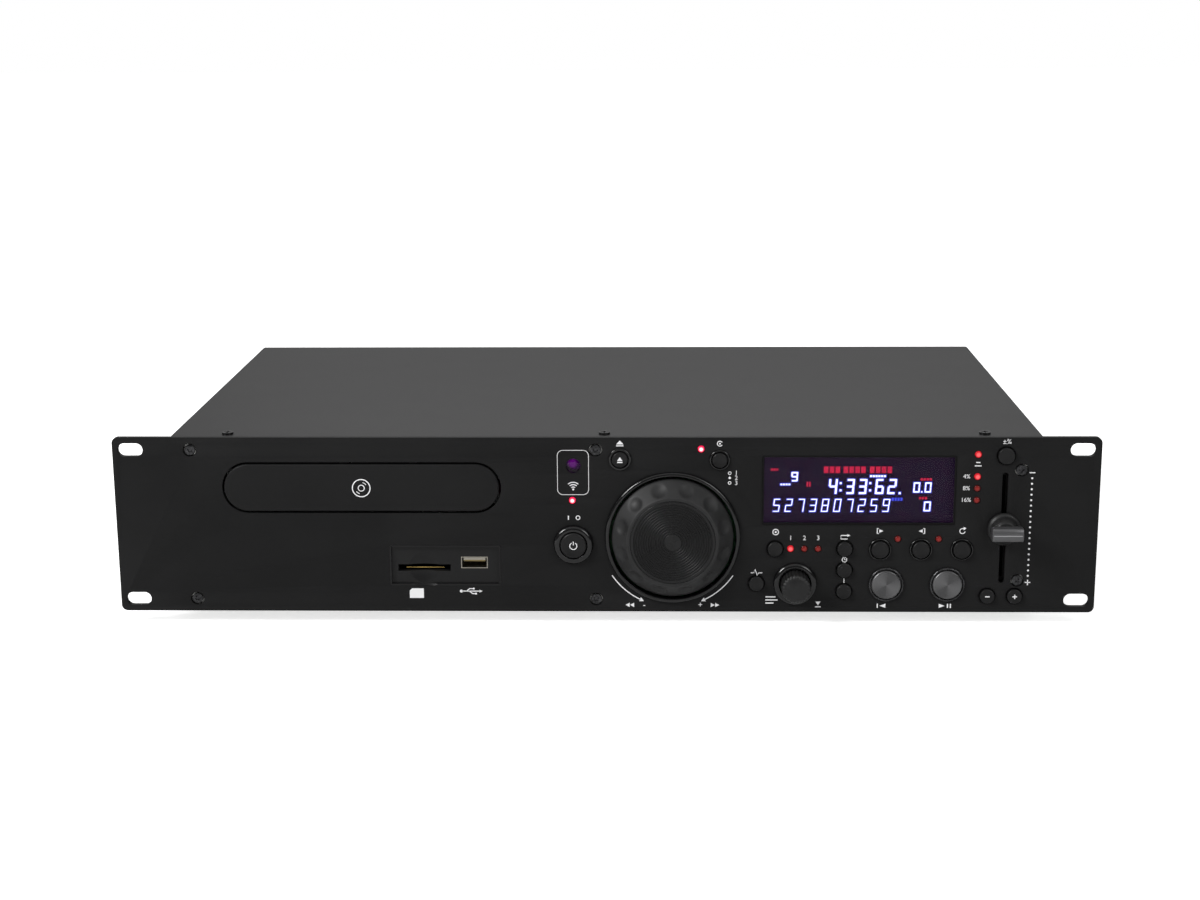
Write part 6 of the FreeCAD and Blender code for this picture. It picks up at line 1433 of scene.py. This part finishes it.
def carve(body: bmesh.types.BMesh, cutter: bmesh.types.BMesh) -> bmesh.types.BMesh:
    """Cuts one closed shape out of another and returns the result."""
    objects = []
    for shape in (body, cutter):
        mesh = bpy.data.meshes.new("carving")
        shape.to_mesh(mesh)
        shape.free()
        holder = bpy.data.objects.new("carving", mesh)
        bpy.context.scene.collection.objects.link(holder)
        objects.append(holder)
    modifier = objects[0].modifiers.new("cut", "BOOLEAN")
    modifier.operation = "DIFFERENCE"
    modifier.solver = "EXACT"
    modifier.use_self = True
    modifier.object = objects[1]
    graph = bpy.context.evaluated_depsgraph_get()
    result = bpy.data.meshes.new_from_object(objects[0].evaluated_get(graph))
    for holder in objects:
        mesh = holder.data
        bpy.data.objects.remove(holder)
        bpy.data.meshes.remove(mesh)
    return to_bmesh(result)


@dataclass
class PanelMarks:
    """White printed signs and numbers on the panel and the caps."""

    stroke: float = 0.45 * MM
    ink: float = 0.02 * MM
    outlines: list[list[Outline]] = field(default_factory=list)
    numbers: list[tuple[str, float, float, float]] = field(default_factory=list)

    def line(self, *points: Point, width: float = 0.0) -> None:
        """Adds a line in millimetres from the panel's middle."""
        scaled = [(x * MM, z * MM) for x, z in points]
        self.outlines.append([band(scaled, width or self.stroke)])

    def solid(self, *points: Point) -> None:
        """Adds a filled outline in millimetres."""
        self.outlines.append([[(x * MM, z * MM) for x, z in points]])

    def dot(self, x: float, z: float, radius: float, hollow: float = 0.0) -> None:
        """Adds a dot or a ring, in millimetres."""
        shape = [circle(x * MM, z * MM, radius * MM, 32)]
        if hollow:
            shape.append(circle(x * MM, z * MM, (radius - hollow) * MM, 32))
        self.outlines.append(shape)

    def sign(self, text: str, x: float, z: float, size: float) -> None:
        """Adds numbers or signs about a place, in millimetres."""
        self.numbers.append((text, x * MM, z * MM, size * MM))

    def arc_arrow(self, x: float, z: float, radius: float, start: float, end: float) -> None:
        """Adds a curved arrow that points to its end angle."""
        path = arc(x, z, radius, start, end, 16)
        self.line(*path, width=0.5 * MM)
        turn = math.radians(end)
        way = 1 if end > start else -1
        along = Vector((-math.sin(turn), math.cos(turn))) * way
        side = Vector((math.cos(turn), math.sin(turn)))
        tip = Vector(path[-1]) + along * 1.6
        self.solid(tuple(tip), tuple(Vector(path[-1]) + side * 1.1 - along * 0.5),
                   tuple(Vector(path[-1]) - side * 1.1 - along * 0.5))

    def fill(self) -> None:
        """Sets out all the marks on the panel."""
        self.frame_marks()
        self.wheel_marks()
        self.control_marks()
        self.slider_marks()

    def frame_marks(self) -> None:
        """The sensor's frame, the power, card and plug signs."""
        self.outlines.append([rounded(-15.15 * MM, 26.8 * MM, 15.5 * MM, 22.6 * MM, 2.8 * MM),
                              rounded(-15.15 * MM, 26.8 * MM, 15.0 * MM, 22.1 * MM, 2.55 * MM)])
        for radius in (1.3, 2.5, 3.7):
            self.line(*arc(-15.1, 18.2, radius, 48, 132, 8), width=0.45 * MM)
        self.dot(-15.1, 18.3, 0.5)
        self.line((-17.6, 2.9), (-17.6, 4.9), width=0.5 * MM)
        self.dot(-12.9, 3.9, 1.15, 0.4)
        self.solid((-96.9, -37.5), (-89.9, -37.5), (-89.9, -32.5), (-95.7, -32.5), (-96.9, -33.7))
        self.line((-71.0, -33.9), (-61.6, -33.9))
        self.solid((-60.6, -33.9), (-62.2, -33.2), (-62.2, -34.6))
        self.dot(-71.2, -33.9, 0.75)
        self.line((-68.6, -33.9), (-67.0, -32.6), (-65.4, -32.6))
        self.line((-67.2, -33.9), (-65.6, -35.2), (-64.2, -35.2))
        self.dot(-65.0, -32.6, 0.5)
        self.solid((-64.4, -34.75), (-63.5, -34.75), (-63.5, -35.65), (-64.4, -35.65))

    def wheel_marks(self) -> None:
        """The eject and jog signs, the mode list and the two turning arrows."""
        self.solid((6.0, 40.9), (9.6, 40.9), (7.8, 42.9))
        self.line((6.0, 40.2), (9.6, 40.2), width=0.5 * MM)
        self.line(*arc(56.5, 41.3, 1.25, 30, 330, 14), width=0.4 * MM)
        self.dot(56.5, 41.3, 0.45)
        for level, hollow in ((26.5, 0.3), (24.1, 0.0), (21.6, 0.35)):
            self.dot(61.4, level, 0.85 if hollow else 0.6, hollow)
        for level, text in ((26.6, "1"), (24.1, "2"), (21.5, "3")):
            self.sign(text, 64.6, level, 3.1)
        self.arc_arrow(33.6, -6.2, 35.6, 213, 244)
        self.arc_arrow(33.6, -6.2, 35.6, 327, 296)
        self.sign("-", 19.6, -40.9, 4.0)
        self.sign("+", 47.4, -40.9, 4.0)
        for side, middle in ((-1, 14.6), (1, 52.6)):
            for step in (0.0, 2.2):
                x = middle + side * step
                self.solid((x, -39.8), (x, -42.0), (x + side * 2.0, -40.9))

    def control_marks(self) -> None:
        """Signs by the source, mode, loop and transport buttons."""
        self.dot(84.2, -3.3, 1.6, 0.42)
        self.dot(84.2, -3.3, 0.5)
        for i, x in enumerate((91.6, 98.35, 105.1)):
            self.sign(str(i + 1), x, -6.4, 3.3)
        self.line((72.2, -24.2), (73.6, -24.2), (74.3, -22.4), (75.5, -25.6), (76.2, -24.2), (77.8, -24.2))
        for side in (1, -1):
            self.line((116.2, -5.9 - side * 0.2), (116.2, -5.9 + side * 0.9), (119.5, -5.9 + side * 0.9))
        self.solid((119.3, -4.3), (120.8, -5.0), (119.3, -5.7))
        self.dot(118.2, -17.4, 1.35, 0.36)
        self.line((118.2, -16.6), (118.2, -17.4), (118.9, -17.4), width=0.3 * MM)
        self.sign("1", 118.2, -28.4, 3.4)
        for x, side in ((135.5, 1), (155.5, -1)):
            edge = x - side * 1.6
            self.line((edge + side * 0.8, -1.4), (edge, -1.4), (edge, -4.0), (edge + side * 0.8, -4.0))
            self.solid((x - side * 0.6, -1.8), (x - side * 0.6, -3.6), (x + side * 1.4, -2.7))
        self.line(*arc(175.5, -2.7, 1.3, 60, 350, 14), width=0.4 * MM)
        self.solid((176.0, -0.6), (176.1, -2.3), (177.4, -1.2))
        self.line((134.9, -40.0), (134.9, -42.2), width=0.55 * MM)
        self.solid((136.0, -41.1), (138.9, -40.0), (138.9, -42.2))
        self.solid((165.2, -40.0), (165.2, -42.2), (168.0, -41.1))
        for x in (169.5, 170.9):
            self.line((x, -40.0), (x, -42.2), width=0.6 * MM)
        for level, right in ((-36.6, 84.6), (-38.2, 85.6), (-39.8, 83.6)):
            self.line((79.6, level), (right, level), width=0.6 * MM)
        self.solid((104.4, -39.0), (106.8, -39.0), (105.6, -41.0))
        self.line((104.2, -41.7), (107.0, -41.7), width=0.5 * MM)

    def slider_marks(self) -> None:
        """The pitch slider's scale, ranges and signs."""
        self.sign("±%", 195.5, 42.2, 3.4)
        self.line((180.9, 31.9), (182.9, 31.9), width=0.5 * MM)
        self.line((180.3, 30.2), (183.5, 30.2), width=0.5 * MM)
        for level, text in ((24.8, "4%"), (18.9, "8%"), (13.0, "16%")):
            self.sign(text, 176.6, level, 3.0)
        self.line((206.9, 26.8), (209.7, 26.8), width=0.5 * MM)
        self.line((206.9, -28.9), (209.7, -28.9), width=0.5 * MM)
        self.line((208.3, -27.5), (208.3, -30.3), width=0.5 * MM)
        for i in range(19):
            self.dot(208.3, 24.0 - 2.75 * i, 0.5)

    def build(self) -> None:
        """Prints the panel's marks and those on the caps."""
        self.fill()
        shape = self.printed(self.outlines, self.numbers)
        shape.transform(RECORD.on_panel(out=self.ink))
        add_piece("panel_print", shape, INK.material(), "front_panel", replaces=False)
        disc = self.printed([[circle(0, 0, 4.6 * MM), circle(0, 0, 4.1 * MM)],
                             [circle(0, 0, 1.7 * MM), circle(0, 0, 1.3 * MM)],
                             [band(arc(0, 0, 2.9 * MM, 35, 75), 0.35 * MM)],
                             [band(arc(0, 0, 2.9 * MM, 215, 255), 0.35 * MM)]], [])
        x, z = RECORD.spot("tray_door")
        disc.transform(RECORD.on_panel(x, z, RECORD.reach("tray_door") + self.ink))
        add_piece("disc_sign", disc, INK.material(), "tray_door", replaces=False)
        self.print_cap("power_sign", "power_button",
                       [[band(arc(0, -0.1 * MM, 1.75 * MM, 120, 420, 24), 0.42 * MM)],
                        [band([(0, 0.3 * MM), (0, 2.15 * MM)], 0.42 * MM)]], 0.4 * MM)
        self.print_cap("eject_sign", "open_close_button",
                       [[[(-1.3 * MM, -0.4 * MM), (1.3 * MM, -0.4 * MM), (0, 1.5 * MM)]],
                        [box(0, -1.15 * MM, 2.6 * MM, 0.6 * MM)]], 0.25 * MM)
        bar = box(0, 0, 2.3 * MM, 0.5 * MM)
        self.print_cap("minus_sign", "pitch_bend_minus_button", [[bar]], 0.25 * MM)
        cross = [[bar], [box(0, 0.7 * MM, 0.5 * MM, 0.9 * MM)], [box(0, -0.7 * MM, 0.5 * MM, 0.9 * MM)]]
        self.print_cap("plus_sign", "pitch_bend_plus_button", cross, 0.25 * MM)

    def printed(self, outlines: list[list[Outline]],
                numbers: list[tuple[str, float, float, float]]) -> bmesh.types.BMesh:
        """Joins flat outlines and numbers into one thin layer."""
        shape = bmesh.new()
        for group in outlines:
            join_shapes(shape, plate(group, self.ink))
        for text, x, z, size in numbers:
            sign = lettering(text, size, self.ink)
            bmesh.ops.translate(sign, vec=(x, z, 0), verts=sign.verts)
            join_shapes(shape, sign)
        return shape

    def print_cap(self, name: str, node: str, outlines: list[list[Outline]], dish: float) -> None:
        """Prints a sign on a cap, in the bottom of its dish."""
        shape = self.printed(outlines, [])
        x, z = RECORD.spot(node)
        shape.transform(RECORD.on_panel(x, z, RECORD.reach(node) - dish * 0.55))
        add_piece(name, shape, INK.material(), node, replaces=False)


@dataclass
class RearMarks:
    """Plain numbers by the output sockets and the sign for alternating current by the inlet."""

    ink: float = 0.02 * MM
    size: float = 4.2 * MM
    above_jacks: float = 11.5 * MM
    jack_pitch: float = 18 * MM
    above_inlet: float = 17.0 * MM
    wave: tuple[float, float] = (2.2 * MM, 1.3 * MM)
    stroke: float = 0.5 * MM

    def build(self) -> None:
        """Prints the signs on the rear panel."""
        shape = bmesh.new()
        low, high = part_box("output_jacks")
        for i in range(3):
            sign = lettering(str(i + 1), self.size, self.ink)
            self.put(sign, shape, (low.x + high.x) / 2 + (1 - i) * self.jack_pitch,
                     (low.z + high.z) / 2 + self.above_jacks)
        low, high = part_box("mains_inlet")
        wide, tall = self.wave
        points = [(wide * turn / math.pi, tall * math.sin(turn))
                  for turn in (math.radians(step) for step in range(-180, 181, 20))]
        self.put(plate([band(points, self.stroke)], self.ink), shape, (low.x + high.x) / 2,
                 (low.z + high.z) / 2 + self.above_inlet)
        add_piece("rear_print", shape, INK.material(), "rear_panel", replaces=False)

    def put(self, sign: bmesh.types.BMesh, shape: bmesh.types.BMesh, x: float, z: float) -> None:
        """Turns a flat sign to the rear, moves it to its place and adds it to the shape."""
        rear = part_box("rear_panel")[1].y + self.ink
        turn = Matrix.Rotation(math.pi, 4, "Z") @ Matrix.Rotation(math.pi / 2, 4, "X")
        sign.transform(Matrix.Translation((x, rear, z)) @ turn)
        join_shapes(shape, sign)


# The case and what is inside it


@dataclass
class Chassis:
    """The kept nodes of the case and the mechanism, each with its own finish."""

    plain: dict[str, Finish] = field(default_factory=lambda: {
        "chassis": ZINC, "top_cover": CASE_PAINT, "rear_panel": CASE_PAINT, "case_screws": SCREW_BLACK,
        "rubber_feet": RUBBER, "jog_axle": STEEL, "encoder_shaft": STEEL, "fader_track": SLOT_BLACK,
        "pitch_carriage": BAY_BLACK, "media_bay": BAY_BLACK, "tray_door": PANEL_PAINT,
        "disc_tray": TRAY_BLACK, "loader_frame": FRAME_GREY, "clamp_bridge": ZINC,
        "clamp_puck": FRAME_GREY, "pinion": ACETAL, "motor_pulley": ACETAL, "loading_motor": STEEL,
        "drive_belt": BELT, "traverse_deck": ZINC, "guide_rods": STEEL, "spindle_motor": STEEL,
        "turntable": TRAY_BLACK, "pickup_sled": TRAY_BLACK, "cam_slider": ACETAL,
    })
    tongue: float = 1.8 * MM
    card_row: float = -22.9 * MM
    card_width: float = 19 * MM
    card_depth: float = 4.6 * MM
    pin_pitch: float = 7.0 * MM
    pin_middle: float = 11.2 * MM

    def build(self) -> None:
        """Dresses each node."""
        for node, finish in self.plain.items():
            dress(node, finish.material())
        self.dress_sockets()
        for node in ("main_board", "supply_board"):
            low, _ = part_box(node)
            dress(node, Board(node.replace("_", " "), low.z + 1.6 * MM).material())
        _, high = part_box("control_board")
        dress("control_board", Board("control board", high.y - 1.6 * MM, 1, -1.0).material())

    def dress_sockets(self) -> None:
        """Gives the data port its tongue and the card slot its row of contacts."""
        low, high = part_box("data_port")
        inside = ((high.x - low.x) / 2 - 0.6 * MM, 0.1, self.tongue / 2 + 0.1 * MM)
        tongue = Zone(tuple((low + high) / 2), inside, (0.16, 0.115, 0.03), 0.4)
        dress("data_port", PORT_SHELL.material(zones=[tongue]))
        dress("card_slot", SLOT_BLACK.material())
        x, _ = RECORD.spot("card_slot")
        row = plate([box(x, self.card_row, self.card_width, 0.28 * MM)], 0.25 * MM)
        row.transform(RECORD.on_panel(out=-self.card_depth))
        add_piece("card_contacts", row, BRASS.material(), "card_slot", replaces=False)
        low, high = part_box("mains_inlet")
        x, z = (low.x + high.x) / 2, (low.z + high.z) / 2
        pins = [Zone((x + side * self.pin_pitch, high.y - self.pin_middle, z + lift),
                     (1.1 * MM, 7.5 * MM, 2.1 * MM), (0.6, 0.58, 0.52), 0.28, 1.0)
                for side, lift in ((-1, 1.5 * MM), (0, 3.5 * MM), (1, 1.5 * MM))]
        dress("mains_inlet", INLET_BLACK.material(zones=pins))


@dataclass
class OutputJacks:
    """Three round output sockets with their nuts, insulators and inner housings."""

    pitch: float = 18 * MM
    radius: float = 4.15 * MM
    bore: float = 3.4 * MM
    nut: float = 5.6 * MM
    nut_thick: float = 1.4 * MM
    reach: float = 9 * MM
    core: float = 1.7 * MM
    body: float = 16 * MM
    body_deep: float = 12 * MM
    colours: tuple[Finish, ...] = (JACK_WHITE, JACK_RED, JACK_ORANGE)

    def build(self) -> None:
        """Makes each socket in its own colour."""
        low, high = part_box("output_jacks")
        level, rear = (low.z + high.z) / 2, high.y - self.reach
        for i, finish in enumerate(self.colours):
            place = Matrix.Translation(((low.x + high.x) / 2 + (1 - i) * self.pitch, rear, level))
            self.build_jack(i + 1, finish, place)

    def build_jack(self, number: int, finish: Finish, place: Matrix) -> None:
        """Makes one socket.

        Args:
            number: its number from the left, seen from the rear.
            finish: the insulator's finish.
            place: where its axis leaves the rear panel.
        """
        groove = 0.25 * MM
        shell = turned([
            (self.bore, 0), (self.bore, self.reach, 0.1 * MM), (self.radius, self.reach, 0.35 * MM),
            (self.radius, self.reach * 0.62), (self.radius - groove, self.reach * 0.58),
            (self.radius - groove, self.reach * 0.5), (self.radius, self.reach * 0.46),
            (self.radius, self.nut_thick), (self.nut, self.nut_thick, 0.3 * MM), (self.nut, 0),
        ], 48)
        insulator = turned([
            (self.core, -0.5 * MM), (self.core, self.reach - 0.5 * MM, 0.15 * MM),
            (self.bore - 0.05 * MM, self.reach - 0.5 * MM, 0.15 * MM), (self.bore - 0.05 * MM, -0.5 * MM),
        ], 48)
        contact = turned([
            (self.core * 0.72, 0), (self.core * 0.72, self.reach * 0.85),
            (self.core * 0.97, self.reach * 0.85), (self.core * 0.97, 0),
        ], 32)
        body = plate([rounded(0, 0, self.body, self.body, 0.6 * MM, 4)], self.body_deep, 0.3 * MM)
        body.transform(Matrix.Translation((0, -1 * MM, 0)) @ Matrix.Rotation(-math.pi / 2, 4, "X"))
        pieces = (("shell", shell, NICKEL), ("insulator", insulator, finish), ("contact", contact, BRASS),
                  ("body", body, SLOT_BLACK))
        for name, shape, own in pieces:
            shape.transform(place)
            add_piece(f"jack_{number}_{name}", shape, own.material(), "output_jacks")


# Floor, lights and camera


@dataclass
class Studio:
    """A pale floor, a white background, soft lights and the camera."""

    floor_size: float = 12.0
    floor_drop: float = 0.05 * MM
    behind: float = 0.3
    above: float = 0.8
    before: float = 0.12
    soft_level: float = 0.34
    far: tuple[float, float] = (0.5, 1.3)
    floor_lift: tuple[float, float] = (0.70, 0.76)
    camera_place: tuple[float, float, float] = (0.02370, -1.05872, 0.31191)
    heading: float = 1.5634
    tilt: float = -13.3892
    roll: float = 0.3616
    lens: float = 59.27
    lights: tuple = (
        ("key", (-1.45, -0.95, 1.3), 0.7, 38.0),
        ("fill", (1.4, -1.3, 1.1), 1.0, 13.0),
        ("back", (0.0, 1.6, 1.5), 1.4, 8.0),
    )

    def build(self) -> None:
        """Makes all of the studio."""
        self.build_world()
        self.build_floor()
        self.build_lights()
        self.build_camera()
        bpy.context.scene.view_settings.view_transform = "Standard"

    def build_world(self) -> None:
        """White where it is seen, with a dimmer side in front of the object."""
        world = bpy.data.worlds.new("studio")
        bpy.context.scene.world = world
        world.use_nodes = True
        tree = Tree(world.node_tree)
        ground = world.node_tree.nodes["Background"]
        path = tree.add("LightPath")
        way = tree.add("SeparateXYZ", {0: tree.add("TexCoord").outputs["Generated"]}).outputs
        rear = tree.ramp(way[1], -0.35, 0.35, self.before, self.behind)
        above = tree.ramp(way[2], 0.3, 0.9, self.before, self.above)
        mirrored = tree.math("MAXIMUM", path.outputs["Is Glossy Ray"], path.outputs["Is Transmission Ray"])
        bright = tree.math("MAXIMUM", rear, above)
        soft = tree.add("Mix", {0: mirrored, 2: self.soft_level, 3: bright}).outputs[0]
        level = tree.math("MAXIMUM", path.outputs["Is Camera Ray"], soft)
        tree.link(level, ground.inputs["Strength"])
        ground.inputs["Color"].default_value = (1.0, 1.0, 1.0, 1.0)

    def build_floor(self) -> None:
        """A wide pale floor that still takes the object's shadow."""
        shape = bmesh.new()
        bmesh.ops.create_grid(shape, x_segments=1, y_segments=1, size=self.floor_size / 2)
        bmesh.ops.translate(shape, vec=(0, 0, -self.floor_drop), verts=shape.verts)
        mesh = bpy.data.meshes.new("studio_floor")
        shape.to_mesh(mesh)
        shape.free()
        floor = bpy.data.objects.new("studio_floor", mesh)
        bpy.context.scene.collection.objects.link(floor)
        made, tree, shader = new_material("pale floor")
        path = tree.add("LightPath")
        coords = tree.add("TexCoord").outputs["Object"]
        speck = tree.add("TexNoise", {"Vector": coords, "Scale": 3.0}).outputs[0]
        tone = tree.blend(speck, (0.80, 0.80, 0.80, 1.0), (0.84, 0.84, 0.84, 1.0))
        tree.link(tone, shader.inputs["Base Color"])
        shader.inputs["Roughness"].default_value = 0.9
        shader.inputs["Specular IOR Level"].default_value = 0.1
        shader.inputs["Emission Color"].default_value = (1.0, 1.0, 1.0, 1.0)
        away = tree.add("VectorMath", {0: coords}, operation="LENGTH")
        share = tree.ramp(away.outputs["Value"], *self.far, *self.floor_lift)
        lift = tree.math("MULTIPLY", path.outputs["Is Camera Ray"], share)
        tree.link(lift, shader.inputs["Emission Strength"])
        mesh.materials.append(made)

    def build_lights(self) -> None:
        """Large soft lamps aimed at the object."""
        aim = Vector((0.0, 0.0, 0.05))
        for name, place, size, power in self.lights:
            lamp = bpy.data.lights.new(name, "AREA")
            lamp.shape = "SQUARE"
            lamp.size = size
            lamp.energy = power
            holder = bpy.data.objects.new(name, lamp)
            spot = Vector(place)
            turn = (aim - spot).to_track_quat("-Z", "Y").to_matrix().to_4x4()
            holder.matrix_world = Matrix.Translation(spot) @ turn
            bpy.context.scene.collection.objects.link(holder)

    def build_camera(self) -> None:
        """The camera where the photograph was taken from."""
        lens = bpy.data.cameras.new("camera")
        lens.lens = self.lens
        lens.sensor_width = 36.0
        lens.sensor_fit = "HORIZONTAL"
        lens.clip_start = 0.01
        holder = bpy.data.objects.new("camera", lens)
        turn = (Matrix.Rotation(math.radians(self.heading), 4, "Z")
                @ Matrix.Rotation(math.radians(self.tilt), 4, "X")
                @ Matrix.Rotation(math.radians(self.roll), 4, "Y") @ Matrix.Rotation(math.pi / 2, 4, "X"))
        holder.matrix_world = Matrix.Translation(self.camera_place) @ turn
        bpy.context.scene.collection.objects.link(holder)
        bpy.context.scene.camera = holder


def main() -> None:
    """Builds the player's pieces in order."""
    logging.basicConfig(level=logging.INFO, format="%(name)s %(message)s")
    for make in (grain_group, streak_group, turned_group, dust_group, zone_group):
        make()
    Studio().build()
    wheel, knob, lamps = JogWheel(), TrackKnob(), panel_lamps()
    FrontPanel(BUTTONS, wheel, knob, lamps).build()
    for button in BUTTONS:
        button.build()
    wheel.build()
    knob.build()
    PitchSlider().build()
    for lamp in lamps:
        lamp.build()
    SensorWindow().build()
    Display().build()
    PanelMarks().build()
    RearMarks().build()
    Chassis().build()
    OutputJacks().build()


if __name__ == "__main__":
    main()
